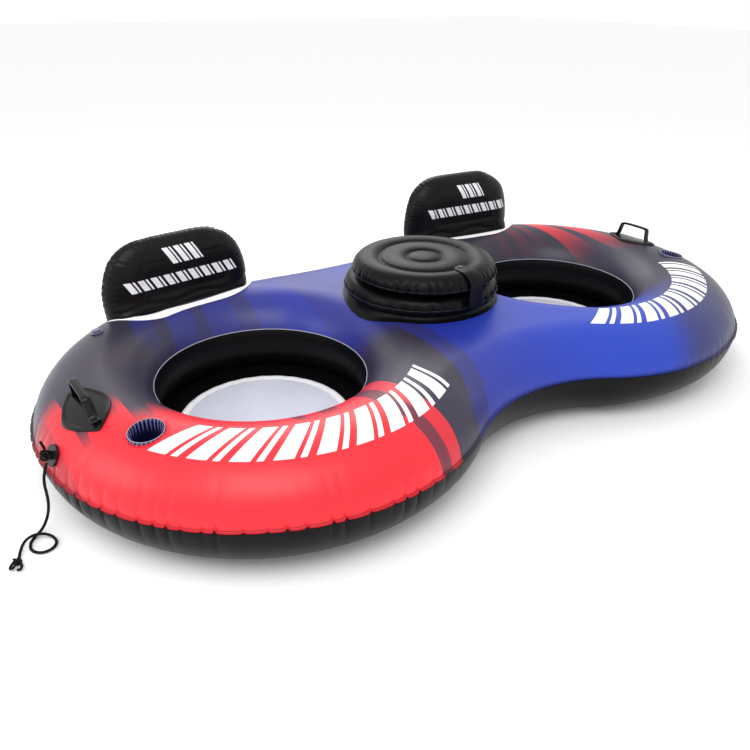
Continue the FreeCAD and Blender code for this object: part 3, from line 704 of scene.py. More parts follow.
def printed_colour(paint):
    """Red, blue and charcoal fields that meet in streaks along the tube's width."""
    x, y = paint.x, paint.y
    reach = (abs(y) - 0.16).top(0.0)
    behind = x.curve([
        (-1.28, -1.08), (-0.61, 0), (-0.2, 0.65), (0.2, -0.65), (0.61, 0), (1.28, 1.08)])
    ahead = x.curve([(-1.28, -1.0), (-0.8, 0), (-0.62, 0.3), (-0.5, -0.3), (-0.4, -0.3),
                     (-0.28, 0.58), (-0.1, 0.3), (0.2, -0.5), (0.61, 0), (1.28, 1.0)])
    front = y.step(0.05, -0.05)
    q = x + reach * reach * (behind + (ahead - behind) * front)

    # Blue: streaks behind the left seat, all of the waist, the front of the right ring.
    streaks = q.curve([
        (-1.30, 0.0), (-0.90, 0.40), (-0.825, 0.14), (-0.775, 0.58), (-0.685, 0.30),
        (-0.635, 0.66), (-0.530, 0.42), (-0.470, 0.80), (-0.403, 1.0), (-0.318, 0.74),
        (-0.268, 0.84), (-0.16, 0.90), (0.05, 0.72), (0.12, 0.45), (0.19, 0.2),
        (0.26, 0.0), (1.30, 0.0)], "CONSTANT")
    start = x.curve([(-1.3, 0.34), (-0.9, 0.33), (-0.6, 0.30), (-0.45, 0.20), (-0.35, 0.0),
                     (-0.2, -0.06), (1.3, -0.06)])
    blue_back = streaks * (y - start).step(-0.10, 0.07)
    waist = q.curve([(-1.3, 0.0), (-0.215, 0.5), (-0.155, 1.0), (1.3, 1.0)], "CONSTANT")
    skew = x - y * 0.6
    rear = x.curve([(-1.3, 0.10), (0.22, 0.14), (0.32, 0.04), (0.44, -0.16), (0.62, -0.22),
                    (0.80, -0.30), (0.95, -0.38), (1.3, -0.5)])
    cover = skew.step(0.98, 0.80) * 0.74 + skew.step(1.30, 1.00) * 0.26
    blue_front = waist * cover * (y - rear).step(0.07, -0.05)
    blue = blue_back.top(blue_front)
    lines = ((q + 1.3) / 0.052).part().within(0.0, 0.022, 0.014) * q.within(-0.40, 0.66, 0.01)
    blue = blue * (lines * -0.42 + 1.0)

    # Red: the front of the left ring, with each streak reaching back by its own amount.
    limit = q.curve([
        (-1.30, 0.05), (-1.21, 0.04), (-1.178, -0.16), (-1.148, -0.10), (-1.07, -0.075),
        (-1.052, -0.17), (-1.004, -0.135), (-0.96, -0.14), (-0.728, -0.385), (-0.696, -0.14),
        (-0.65, -0.385), (-0.60, -0.14), (1.30, -0.14)], "CONSTANT")
    strength = q.curve([
        (-1.30, 0.55), (-1.21, 1.0), (-0.541, 0.16), (-0.501, 0.72), (-0.457, 0.0), (1.30, 0.0)],
        "CONSTANT")
    red_left = strength * (y - limit).step(0.075, -0.06)
    stripes = q.curve([
        (-1.3, 0.0), (0.672, 0.10), (0.722, 0.0), (0.760, 0.26), (0.806, 0.0), (0.824, 0.30),
        (0.860, 0.0), (0.900, 0.92), (0.956, 0.0), (0.990, 0.88), (1.050, 0.0), (1.3, 0.0)],
        "CONSTANT")
    stripe_start = q.curve([
        (-1.3, 0.33), (0.88, 0.17), (0.96, 0.05), (1.3, 0.05)], "CONSTANT")
    red_right = stripes * (y - stripe_start).step(-0.10, 0.30)
    red = red_left.top(red_right)

    dark = paint.mix(paint.noise(3.2, 2).step(0.35, 0.65), CHARCOAL, srgb(46, 43, 60))
    blues = paint.mix(q.step(-0.25, 0.30), srgb(36, 46, 142), BLUE)
    colour = paint.mix(blue, dark, blues)
    colour = paint.mix(red, colour, RED)
    edge = paint.z.within(SEAM_Z - 0.004, SEAM_Z + 0.0030, 0.0015)
    colour = paint.mix(edge * 0.45, colour, srgb(24, 10, 22))

    # White bars round the front of each ring.
    for side, middle, span in (("left", 0.480, (-145, -52)), ("right", 0.462, (-124, -30))):
        distance, angle = paint.polar((SIDES[side] * RING_X, 0.0))
        ends = tuple(radians(a) * middle for a in span)
        pitch = (ends[1] - ends[0]) / 9
        bars = slanted_bars(angle * middle, distance - middle, pitch, (-0.058, 0.058), ends)
        colour = paint.mix(bars, colour, WHITE)
    return colour


VINYL_GRAIN = 0.00008


def printed_vinyl():
    paint = Paint("printed_vinyl")
    return paint.finish(printed_colour(paint), 0.36, waves=0.0013, grain=VINYL_GRAIN, gloss=0.36)


def vinyl(name, colour, roughness=0.40, waves=0.0008, amount=0.15, gloss=0.3):
    paint = Paint(name)
    colour = paint.shade(colour, amount)
    return paint.finish(colour, roughness, waves=waves, grain=VINYL_GRAIN, gloss=gloss)


def mesh_fabric():
    """A fine open mesh, with its holes as small dark spots."""
    paint = Paint("mesh_fabric")
    pitch = 0.0021
    holes = (paint.x * (TAU / pitch)).sine() * (paint.y * (TAU / pitch)).sine()
    cover = holes.step(0.25, 0.75)
    yarn = paint.shade(srgb(212, 213, 228), 0.04, 6)
    colour = paint.mix(cover * 0.45, yarn, srgb(120, 120, 135))
    return paint.finish(colour, 0.7, grain=0.0, relief=holes * 0.00012)


def border_vinyl():
    """White welt with two rows of stitches round the seat mesh."""
    paint = Paint("border_vinyl")
    distance, angle = paint.polar_each_side((-SEAT_X, SEAT_Y), (SEAT_X, SEAT_Y))
    dash = (angle * (150 / TAU)).part().within(0.2, 0.75, 0.06)
    rows = distance.within(0.2385, 0.2400, 0.0004).top(distance.within(0.2525, 0.2540, 0.0004))
    stitches = dash * rows
    colour = paint.mix(stitches, paint.shade(srgb(250, 250, 252), 0.02), srgb(150, 150, 165))
    return paint.finish(colour, 0.5, relief=stitches * 0.0004)


def backrest_vinyl(side):
    """Black vinyl with a plain row of slanted bars where a print stands."""
    (x0, y0), yaw = RESTS[side]
    paint = Paint("backrest_vinyl_" + side)
    x, y = paint.x - x0, paint.y - y0
    front = (x * sin(yaw) - y * cos(yaw)).step(0.0, 0.004)
    shift, lift = (0.0, 0.0) if side == "left" else (0.016, 0.020)
    along, up = x * cos(yaw) + y * sin(yaw) - shift, paint.z - lift
    row = slanted_bars(along, up - 0.383, 0.0422, (-0.018, 0.018), (-0.19, 0.19))
    crest = slanted_bars(along - 0.01, up - 0.456, 0.038, (-0.026, 0.026), (-0.057, 0.057))
    colour = paint.mix(row.top(crest) * front, paint.shade(BLACK, 0.2), srgb(228, 228, 232))
    return paint.finish(colour, 0.36, waves=0.0010, grain=VINYL_GRAIN, gloss=0.16)


def moulded(name, colour, roughness=0.35, gloss=0.3):
    paint = Paint(name)
    colour = paint.shade(colour, 0.12, 30)
    return paint.finish(colour, roughness, grain=0.00006, grain_scale=1500, gloss=gloss)


def cup_vinyl():
    """Navy vinyl whose upright ribs catch the light near the rim."""
    paint = Paint("cup_vinyl")
    _, angle = paint.polar_each_side(CUPS["left"], CUPS["right"])
    ribs = (angle * CUP_RIBS + pi / 2).sine().step(0.1, 0.7)
    lit = ribs * paint.z.step(0.262, 0.288) * 0.5
    colour = paint.mix(lit, srgb(17, 18, 54), srgb(130, 132, 190))
    return paint.finish(colour, 0.26, grain=0.00006, grain_scale=1500)


def braid():
    paint = Paint("rope_braid")
    colour = paint.mix(paint.noise(260, 3).step(0.3, 0.7), srgb(5, 5, 6), srgb(14, 14, 16))
    return paint.finish(colour, 0.75, grain=0.0003, grain_scale=1200, gloss=0.2)


def foil_liner():
    paint = Paint("liner_foil")
    quilt = (paint.z * (TAU / 0.03)).sine() * 0.5
    colour = paint.shade(srgb(176, 178, 184), 0.1, 12)
    return paint.finish(colour, 0.42, waves=0.0015, wave_scale=30, relief=quilt * 0.0006)


def valve_plastic():
    paint = Paint("valve_plastic")
    return paint.finish(paint.shade(srgb(104, 100, 128), 0.1, 60), 0.3, grain=0.00003)


REST_SIZE = {"base": 0.297, "width": 0.50, "foot": 0.045, "back": 0.046}
SINK = 0.0012  # how far a pillow's foot sinks into the tube
REST_ROUND = 0.088  # how far in from its seam a pillow is as deep as it gets
REST_FRONT = {"left": 0.052, "right": 0.063}
REST_HEIGHT = {"left": 0.212, "right": 0.238}
RESTS = {
    "left": ((-0.668, 0.484), radians(5.7)),
    "right": ((0.556, 0.516), radians(-5.7)),
}

M = {
    "printed": printed_vinyl(),
    "black": vinyl("black_vinyl", BLACK, 0.36, gloss=0.12),
    "seat_wall": vinyl("seat_wall_vinyl", srgb(8, 8, 10), 0.38, gloss=0.14),
    "cooler": vinyl("cooler_vinyl", srgb(8, 8, 11), 0.36, waves=0.0012, gloss=0.12),
    "white": vinyl("white_vinyl", srgb(246, 246, 248), 0.5, amount=0.02),
    # Pale grey for the seat seams, where it is a painted highlight on the weld's edge, and for
    # the cup rims.
    "line": vinyl("seam_vinyl", srgb(150, 150, 165), 0.4, amount=0.05),
    "line_dark": vinyl("cooler_seam_vinyl", srgb(24, 24, 27), 0.30, amount=0.05),
    "mesh": mesh_fabric(),
    "border": border_vinyl(),
    "cup": cup_vinyl(),
    "plastic": moulded("moulded_black", srgb(9, 9, 11), 0.26, 0.24),
    "patch": moulded("patch_black", srgb(22, 21, 26), 0.32, 0.2),
    "rope": braid(),
    "liner": foil_liner(),
    "valve": valve_plastic(),
}

# ---- rope

ROPE_POINTS = [
    (-1.243, -0.086, 0.204), (-1.256, -0.095, 0.180), (-1.260, -0.093, 0.152),
    (-1.259, -0.086, 0.122), (-1.259, -0.079, 0.092), (-1.263, -0.073, 0.062),
    (-1.272, -0.069, 0.034), (-1.286, -0.068, 0.011), (-1.304, -0.075, 0.004),
    (-1.322, -0.094, 0.004), (-1.328, -0.122, 0.004), (-1.313, -0.146, 0.004),
    (-1.285, -0.149, 0.004), (-1.266, -0.127, 0.004), (-1.274, -0.099, 0.009),
    (-1.299, -0.085, 0.016), (-1.328, -0.089, 0.016), (-1.347, -0.108, 0.007),
    (-1.356, -0.134, 0.005),
]
ROPE_RADIUS = 0.0035
BRAID_STEP, BRAID_PITCH = 0.0012, 0.026
TIE_KNOT = Vector((-1.2409, -0.0780, 0.2197))
END_KNOT = Vector((-1.362, -0.150, 0.0100))


def read_spline(points):
    """The points of a NURBS line that has these control points."""
    data = bpy.data.curves.new("rope_route", "CURVE")
    data.dimensions = "3D"
    spline = data.splines.new("NURBS")
    spline.points.add(len(points) - 1)
    for control, point in zip(spline.points, points):
        control.co = (*point, 1)
    spline.order_u = 3
    spline.use_endpoint_u = True
    spline.resolution_u = 24
    route = bpy.data.objects.new("rope_route", data)
    line = bpy.data.meshes.new_from_object(route)
    found = [v.co.copy() for v in line.vertices]
    bpy.data.objects.remove(route)
    bpy.data.meshes.remove(line)
    return found


def even_path(points, gap, closed=False):
    """The same line with its points one gap apart."""
    points = list(points) + ([points[0]] if closed else [])
    lengths = [(b - a).length for a, b in zip(points, points[1:])]
    count = max(2, round(sum(lengths) / gap))
    wanted, path, gone, i = sum(lengths) / count, [], 0.0, 0
    for k in range(count if closed else count + 1):
        target = min(k * wanted, sum(lengths) - 1e-9)
        while gone + lengths[i] < target and i < len(lengths) - 1:
            gone += lengths[i]
            i += 1
        path.append(points[i].lerp(points[i + 1], (target - gone) / max(lengths[i], 1e-9)))
    return path


def braid_relief(i, angle):
    """Two sets of strands that cross, four each way."""
    turn = TAU * i * BRAID_STEP / BRAID_PITCH
    one, other = cos(4 * (angle + turn)), cos(4 * (angle - turn))
    return 0.95 + 0.08 * max(one, other)


def strand(name, path, radius, nodes=(), columns=14, closed=False):
    """A length of the braided rope."""
    piece = tube(name, path, radius, M["rope"], columns, closed=closed, relief=braid_relief)
    dress(piece, "tube", "rope", *nodes)
    return piece


def overhand(name, centre, turns, size, flat, radius, node):
    """A pulled-tight overhand knot, turned about X and then about Z."""
    turn = Matrix.Rotation(radians(turns[1]), 3, "Z") @ Matrix.Rotation(
        radians(turns[0]), 3, "X")
    line = []
    for t in around(96):
        swell = 1 + 0.5 * cos(3 * t)
        line.append(centre + turn @ Vector((
            size * swell * cos(2 * t), size * swell * sin(2 * t), flat * sin(3 * t)
        )))
    return strand(name, even_path(line, BRAID_STEP, True), radius, [node], closed=True)


def loose_end(name, knot, steps, radius):
    """Rope that comes out of a knot, by steps from its middle."""
    line = smooth_path([knot + Vector(step) for step in steps])
    return strand(name, even_path(line, BRAID_STEP), radius)


def build_rope():
    path = even_path(read_spline(ROPE_POINTS), BRAID_STEP)
    rope = strand("tow_rope_braid", path, ROPE_RADIUS, ["tow_rope"], 20)
    tie = overhand("tie_knot_braid", TIE_KNOT, (62, 20), 0.0078, 0.0062, 0.0034, "rope_tie_knot")
    tail = loose_end("tie_tail_braid", TIE_KNOT, (
        (0.001, 0.002, 0.002), (0.003, 0.004, 0.016),
        (-0.001, 0.003, 0.030), (-0.003, 0.001, 0.040)), 0.0033)
    end = overhand("end_knot_braid", END_KNOT, (78, 70), 0.0052, 0.0060, 0.0032, "rope_end_knot")
    bow = loose_end("end_bow_braid", END_KNOT, (
        (0.002, -0.002, 0.001), (-0.004, -0.012, 0.004), (-0.014, -0.020, 0.000),
        (-0.021, -0.014, -0.004), (-0.016, -0.005, -0.003), (-0.005, 0.001, 0.003),
        (0.004, -0.009, 0.003), (0.006, -0.021, -0.002), (-0.001, -0.029, -0.004),
        (-0.008, -0.025, -0.004)), 0.0031)
    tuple(ROPE_POINTS[0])


build_rope()

# ---- tube skins and seats

build_skin(True, M["printed"])
build_skin(False, M["black"])


def build_seat(side):
    """The seam round the hole, whose pale grey is a painted highlight, the stretched mesh, its
    white border and the skirt.
    """
    sign = SIDES[side]
    centre = (sign * SEAT_X, SEAT_Y)
    ring = [Vector(p) for p in seat_band(sign, True)[0].tolist()]
    # The seam's pale grey is a painted highlight on the weld's edge.
    seam = tube("seat_seam_painted_highlight_" + side, ring, 0.0017, M["line"], 8, closed=True)
    dress(seam, "tube", "white_vinyl")

    reach, sag = 0.25, 0.0035
    radii = [0.0005 + (reach - 0.0005) * k / 26 for k in range(27)]
    profile = [(r, 0.046 - sag * (1 - (r / reach) ** 2)) for r in radii]
    net = lathe("seat_net_" + side, centre, profile, 120, M["mesh"])
    dress(net, "tube", "mesh_fabric", "seat_mesh_" + side)

    teeth = 180

    def scallop(angle, row, radius, height):
        if row in (0, 1, 7):
            radius += 0.0011 * abs(sin(angle * teeth / 2)) - 0.0006
        return radius, height + 0.0004 * sin(angle * 29)

    band = [(0.2352, 0.0468), (0.2348, 0.0480), (0.2400, 0.0488), (0.2470, 0.0486),
            (0.2540, 0.0488), (0.2585, 0.0482), (0.2590, 0.0466), (0.2352, 0.0468)]
    border = lathe("seat_border_" + side, centre, band, 720, M["border"], scallop)
    dress(border, "tube", "white_vinyl", "mesh_border_" + side)

    draw = random.Random(3)
    waves = [
        (draw.randint(14, 46), draw.uniform(0, TAU), draw.uniform(0.3, 1.0)) for _ in range(6)
    ]

    def crinkle(angle, row, radius, height):
        wave = sum(size * sin(count * angle + start) for count, start, size in waves)
        return radius, height + 0.0011 * wave * sin(pi * min(1.0, row / 10))

    profile = [(0.2500 + 0.0955 * k / 11, 0.0458 + 0.0035 * (k / 11) ** 2) for k in range(12)]
    skirt = lathe("seat_skirt_" + side, centre, profile, 240, M["seat_wall"], crinkle)
    dress(skirt, "tube", "black_vinyl", "mesh_skirt_" + side)


for seat_side in SIDES:
    build_seat(seat_side)

# ---- backrests


def rest_outline(side, tall, count):
    """A trapezium with round upper corners, anticlockwise from the foot's right end."""
    half, low = REST_SIZE["width"] / 2, -REST_SIZE["foot"]

    def edge(slope):
        return [
            (half - 0.006, low), (half, 0.0), (half + 0.002, 0.060),
            (half - 0.011 * slope, tall - 0.095), (half - 0.036 * slope, tall - 0.042),
            (half - 0.092 * slope, tall - 0.004), (half - 0.16, tall + 0.004),
        ]

    corners = edge(1.2 if side == "left" else 1.35) + [(0.0, tall + 0.004)]
    corners += [(-u, v) for u, v in reversed(edge(1.0))]
    corners += [(-0.12, low), (0.12, low)]
    path = flat_path(corners, 4, closed=True)
    return [(p.x, p.y) for p in even_path(path, length_of(path + path[:1]) / count, True)]


def build_backrest(side):
    """An air pillow: two skins that meet at a puckered seam, with a weld line on the front."""
    (x0, y0), yaw = RESTS[side]
    tall = REST_HEIGHT[side]
    edge = np.array(rest_outline(side, tall, 300))
    count, rows = len(edge), 22
    middle = np.array([0.0, 0.45 * tall])
    draw = random.Random(5 if side == "left" else 8)
    gap = np.hypot(*(np.roll(edge, -1, 0) - edge).T)
    run = np.concatenate([[0], np.cumsum(gap)[:-1]])
    pleats, at = [], 0.0
    while at < gap.sum() - 0.012:
        pleats.append((at, draw.uniform(0.3, 1.0)))
        at += draw.uniform(0.013, 0.022)
    pucker = np.zeros(count)
    for place, strength in pleats:
        away = np.abs(run - place)
        away = np.minimum(away, gap.sum() - away)
        pucker -= strength * np.exp(-((away / 0.0045) ** 2))
    foot = np.clip((edge[:, 1] - 0.01) / 0.05, 0.25, 1)
    if side == "right":
        foot = foot * np.where(edge[:, 0] < -0.10, 1.0, 0.35)
    pucker = (pucker + 0.35) * foot

    def depth(point, j, face_sign):
        away = sqrt(float(np.min(np.sum((edge - point) ** 2, 1))))
        t = min(1.0, away / REST_ROUND)
        thick = REST_FRONT[side] if face_sign > 0 else REST_SIZE["back"]
        full = thick * quarter_circle(1 - t) * (0.90 + 0.10 * t)
        fold = 0.020 + 0.006 * sin(point[0] * 34)
        crease = 0.004 * hump(point[1] - fold, 0.006)
        return full - crease + 0.0040 * pucker[j] * exp(-away / 0.022), away

    def place(u, v, w):
        x = x0 + u * cos(yaw) + w * sin(yaw)
        y = y0 + u * sin(yaw) - w * cos(yaw)
        rest = surface(x, y, -SINK)
        return Vector((x, y, max(rest.z, REST_SIZE["base"] + v)))

    points, faces = [], []
    for j in range(count):
        u, v = edge[j] + (edge[j] - middle) * (0.032 * pucker[j])
        points.append(place(u, v, 0.0))
    for face_sign in (1, -1):
        start = len(points)
        for k in range(1, rows):
            shrink = 1 - (k / rows) ** 1.25
            for j in range(count):
                point = middle + (edge[j] - middle) * shrink
                w, away = depth(point, j, face_sign)
                if face_sign > 0:
                    w += 0.016 * hump(max(0.0, point[1]), 0.026) * min(1.0, away / 0.03)
                    beside = max(0.0, abs(point[0] - 0.01) - 0.118)
                    over = max(0.0, abs(point[1] - tall * 0.46) - 0.016)
                    line = hypot(beside, over) - 0.036
                    deep = 0.0052 if point[1] < tall * 0.42 else 0.0026
                    w -= deep * hump(line, 0.0046)
                    w -= 0.0022 * smoothstep(-line, 0.0, 0.012)
                points.append(place(point[0], point[1], face_sign * w))
        faces += grid_faces(rows - 1, count, wrap=True, start=start, flip=face_sign < 0)
        hub = len(points)
        w, _ = depth(middle, 0, face_sign)
        points.append(place(middle[0], middle[1], face_sign * w))
        last = start + (rows - 2) * count
        for j in range(count):
            k = (j + 1) % count
            for face in ((j, k, start + k, start + j), (last + j, last + k, hub)):
                faces.append(face[::face_sign])
    pillow = add_piece("rest_pillow_" + side, points, faces, backrest_vinyl(side))
    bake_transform(pillow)
    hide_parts("backrest_" + side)


for rest_side in SIDES:
    build_backrest(rest_side)


def build_weld_strip(side, lower, upper):
    """A white strip welded on the tube in front of a backrest."""
    near = even_path(flat_path(lower), 0.008)
    far = flat_path(upper)
    far = even_path(far, length_of(far) / (len(near) - 1))
    rows = []
    for k in range(6):
        row = [a.lerp(b, k / 5) for a, b in zip(near, far)]
        rows.append([surface(flat.x, flat.y, 0.0012) for flat in row])
    strip = slab("weld_band_" + side, rows, 0.0012, M["white"])
    dress(strip, "tube", "white_vinyl", "weld_strip_" + side)


build_weld_strip(
    "left",
    [(-0.92, 0.438), (-0.86, 0.380), (-0.78, 0.376), (-0.69, 0.408), (-0.60, 0.416),
     (-0.50, 0.414), (-0.44, 0.440), (-0.405, 0.48), (-0.39, 0.54)],
    [(-0.90, 0.448), (-0.85, 0.402), (-0.78, 0.405), (-0.69, 0.438), (-0.60, 0.446),
     (-0.50, 0.446), (-0.455, 0.460), (-0.428, 0.495), (-0.412, 0.54)],
)
build_weld_strip(
    "right",
    [(0.32, 0.485), (0.40, 0.455), (0.50, 0.432), (0.62, 0.428), (0.73, 0.412),
     (0.81, 0.434), (0.86, 0.485)],
    [(0.33, 0.500), (0.41, 0.478), (0.50, 0.462), (0.62, 0.466), (0.73, 0.452),
     (0.795, 0.466), (0.835, 0.495)],
)

# ---- cooler

COLLAR = (0.011, 0.074)
LID = (0.0, 0.047)
LID_SEAM = (0.232, 0.397)


def pucker_set(seed, arcs):
    """Pleats round a rim: (angle, strength) over arcs of (start, end, gap, strength)."""
    draw = random.Random(seed)
    pleats = []
    for start, end, gap, strength in arcs:
        angle = start
        while angle < end:
            pleats.append((radians(angle), strength * draw.uniform(0.5, 1.0)))
            angle += gap * draw.uniform(0.7, 1.3)
    return pleats


def pleat_at(pleats, angle, width):
    total = 0.0
    for place, strength in pleats:
        away = (angle - place + pi) % TAU - pi
        total -= strength * hump(away, width)
    return total


def build_collar():
    """The air ring round the cooler's mouth."""
    inner, outer, low, high, seam = 0.178, 0.252, 0.3040, 0.3680, 0.3335
    pleats = pucker_set(21, [(-150, -30, 9.0, 1.0), (-30, 210, 12, 0.5)])
    profile = []
    middle, half = (inner + outer) / 2, (outer - inner) / 2
    level = (low + high) / 2
    for k in range(49):
        t = TAU * k / 48 - pi / 2
        c, up = cos(t), sin(t)
        r = middle + half * copysign(abs(c) ** 0.85, c)
        z = level + (high - low) / 2 * copysign(abs(up) ** 0.85, up)
        if r > middle:
            z += (seam - level) * (r - middle) / half * (1 - abs(up))
        profile.append((r, z))

    def warp(angle, row, radius, height):
        near = hump(height - seam, 0.015) if radius > middle else 0.0
        pleat = pleat_at(pleats, angle, 0.040)
        return radius + (0.0060 * pleat + 0.0018) * near, height + 0.0012 * pleat * near

    collar = lathe("collar_pillow", COLLAR, profile, 720, M["cooler"], warp)
    dress(collar, "tube", "black_vinyl", "cooler_collar")
    rim = rim_line(COLLAR, warp, 0, (outer, seam), 360, 0.001)
    welt = tube("collar_seam", rim, 0.0016, M["line_dark"], 8, closed=True)
    dress(welt, "tube", "black_vinyl")

    skirt_pleats = pucker_set(9, [(0, 360, 12, 1.0)])

    def crinkle(angle, row, radius, height):
        radius += 0.0016 * pleat_at(skirt_pleats, angle, 0.03) * (1 - row / 6)
        return radius, height + top_at(*on_circle(COLLAR, radius, angle))

    profile = [(0.2585, 0.0006), (0.2500, 0.0014), (0.2430, 0.0030), (0.2385, 0.0070),
               (0.2355, 0.0130), (0.2340, 0.0200), (0.2335, 0.0270)]
    skirt = lathe("collar_skirt", COLLAR, profile, 360, M["black"], crinkle)
    dress(skirt, "tube", "black_vinyl", "cooler_skirt")


LID_BUTTON, LID_GROOVE = 0.058, 0.147
LID_TROUGH, LID_CREST = 0.4265, 0.4400
LID_BASE = 0.3735


def shares(count):
    return [k / count for k in range(1, count + 1)]


def lid_profile():
    """The lid from the middle of its top, over the seam, to the middle of its underside."""
    middle, rise = 0.4395, LID_CREST - LID_TROUGH
    seam_r, seam_z = LID_SEAM
    profile = [(0.0005, middle)]
    for t in shares(12):
        z = LID_TROUGH + (middle - LID_TROUGH) * quarter_circle(t ** 1.3)
        profile.append((LID_BUTTON * t, z))
    for t in shares(20):
        r = LID_BUTTON + (LID_GROOVE - LID_BUTTON) * t
        profile.append((r, LID_TROUGH + rise * (4 * t * (1 - t)) ** 0.45))
    for t in shares(28):
        r = LID_GROOVE + (seam_r - LID_GROOVE) * t
        if t < 0.45:
            z = LID_TROUGH + rise * sin(pi / 2 * t / 0.45) ** 0.6
        else:
            z = seam_z + (LID_CREST - seam_z) * quarter_circle((t - 0.45) / 0.55)
        profile.append((r, z))
    for t in shares(20):
        profile.append((seam_r - 0.075 * t, seam_z - (seam_z - LID_BASE) * quarter_circle(1 - t)))
    for t in shares(8):
        profile.append((max(0.0005, 0.158 * (1 - t)), LID_BASE))
    return profile


def build_lid():
    """The round lid pillow, with its two welded grooves."""
    pleats = pucker_set(33, [(-150, -30, 8.0, 1.3), (-30, 210, 12, 0.6)])
    groove_pleats = pucker_set(35, [(0, 360, 10, 1.0)])
    seam_r, seam_z = LID_SEAM

    def warp(angle, row, radius, height):
        near = hump(hypot(radius - seam_r, height - seam_z), 0.024)
        pleat = pleat_at(pleats, angle, 0.024)
        groove = hump(radius - LID_GROOVE, 0.012) + hump(radius - LID_BUTTON, 0.01)
        fine = pleat_at(groove_pleats, angle, 0.05)
        lift = 0.0009 * fine * groove if height > 0.42 else 0.0
        return radius + (0.0064 * pleat + 0.0020) * near, height + 0.0012 * pleat * near + lift

    lid = lathe("lid_pillow", LID, lid_profile(), 720, M["cooler"], warp, flip=True)
    dress(lid, "lid", "black_vinyl", "cooler_lid")
    rim = rim_line(LID, warp, 0, LID_SEAM, 360, 0.001)
    welt = tube("lid_seam", rim, 0.0013, M["line_dark"], 8, closed=True)
    dress(welt, "lid", "black_vinyl")


def build_latch():
    """A strap from the lid's top, over its edge, to the side of the collar."""
    heading = radians(-87)
    out = Vector((cos(heading), sin(heading), 0))
    side = Vector((-sin(heading), cos(heading), 0))
    base = Vector((*LID, 0))
    gap = 0.003
    line = even_path(smooth_path([
        (0.150, 0, 0.4418), (0.185, 0, 0.4418), (0.205, 0, 0.4412), (0.224, 0, 0.4340),
        (0.2395, 0, 0.418), (0.2400, 0, 0.400), (0.2395, 0, 0.375), (0.2405, 0, 0.350),
        (0.2398, 0, 0.3295)]), gap)
    half, lower_round, rows = 0.0275, 0.012, []
    for i, spot in enumerate(line):
        on_top = i < len(line) / 2
        near_end = min(i, len(line) - 1 - i) * gap
        radius = half if on_top else lower_round
        cut = radius - sqrt(max(0.0, radius ** 2 - max(0.0, radius - near_end) ** 2))
        width = half - cut * (0.98 if on_top else 1.0)
        row = []
        for k in range(13):
            share = k / 6 - 1
            sag = 0.0010 * cos(share * 2.4)
            ahead, over = (spot.x, spot.z + sag) if on_top else (spot.x + 0.6 * sag, spot.z)
            row.append(base + out * ahead + side * (width * share) + UP * over)
        rows.append(row)
    strap = slab("latch_band", rows, 0.0016, M["black"])
    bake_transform(strap)
    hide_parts("latch_tab", "latch_strap")


def build_hinge_flap():
    """The vinyl hinge behind the lid."""
    line = even_path(smooth_path([
        (0, 0.318, 0.3655), (0, 0.300, 0.3700), (0, 0.287, 0.3712), (0, 0.282, 0.3716),
        (0, 0.262, 0.3722), (0, 0.240, 0.3722)]), 0.0022)
    rows = [[Vector((0.085 * (k / 8 - 1), p.y, p.z)) for k in range(17)] for p in line]
    flap = slab("hinge_flap", rows, 0.0009, M["black"])
    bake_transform(flap)
    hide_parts("hinge_flap_foot", "hinge_flap_strip")


build_collar()
build_lid()
build_latch()
build_hinge_flap()

# ---- cups and handles


def build_cup(side):
    """A moulded cup with upright ribs, and its round weld on the skin."""
    x, y = CUPS[side]
    top, near = top_at(x, y), 0.05
    slope_x = (top_at(x + near, y) - top_at(x - near, y)) / (2 * near)
    slope_y = (top_at(x, y + near) - top_at(x, y - near)) / (2 * near)
    profile = [(0.0448, -0.0010), (0.0440, 0.0006), (0.0434, 0.0012), (0.0426, 0.0020),
               (0.0416, 0.0022), (0.0408, 0.0012), (0.0400, -0.004), (0.0394, -0.02),
               (0.0390, -0.05), (0.0386, -0.08),
               (0.0375, -0.0895), (0.033, -0.0915), (0.016, -0.0915), (0.0005, -0.0915)]

    def warp(angle, row, radius, height):
        if 6 <= row <= 9:
            radius -= 0.0030 * (0.5 + 0.5 * cos(angle * CUP_RIBS)) ** 2
        rise = slope_x * radius * cos(angle) + slope_y * radius * sin(angle)
        blend = 1.0 if row < 6 else max(0.0, 1 - (row - 5) / 3)
        base = top_at(*on_circle((x, y), radius, angle)) - top if row < 2 else rise
        return radius, top + height + base * blend

    cup = lathe("cup_" + side, (x, y), profile, 240, M["cup"], warp, flip=True)
    dress(cup, "tube", "cup_vinyl", "cup_holder_" + side)
    line = rim_line((x, y), warp, 4, (0.0428, 0.0016), 72)
    rim = tube("cup_rim_" + side, line, 0.0008, M["line"], 8, closed=True)
    dress(rim, "tube", "cup_vinyl")


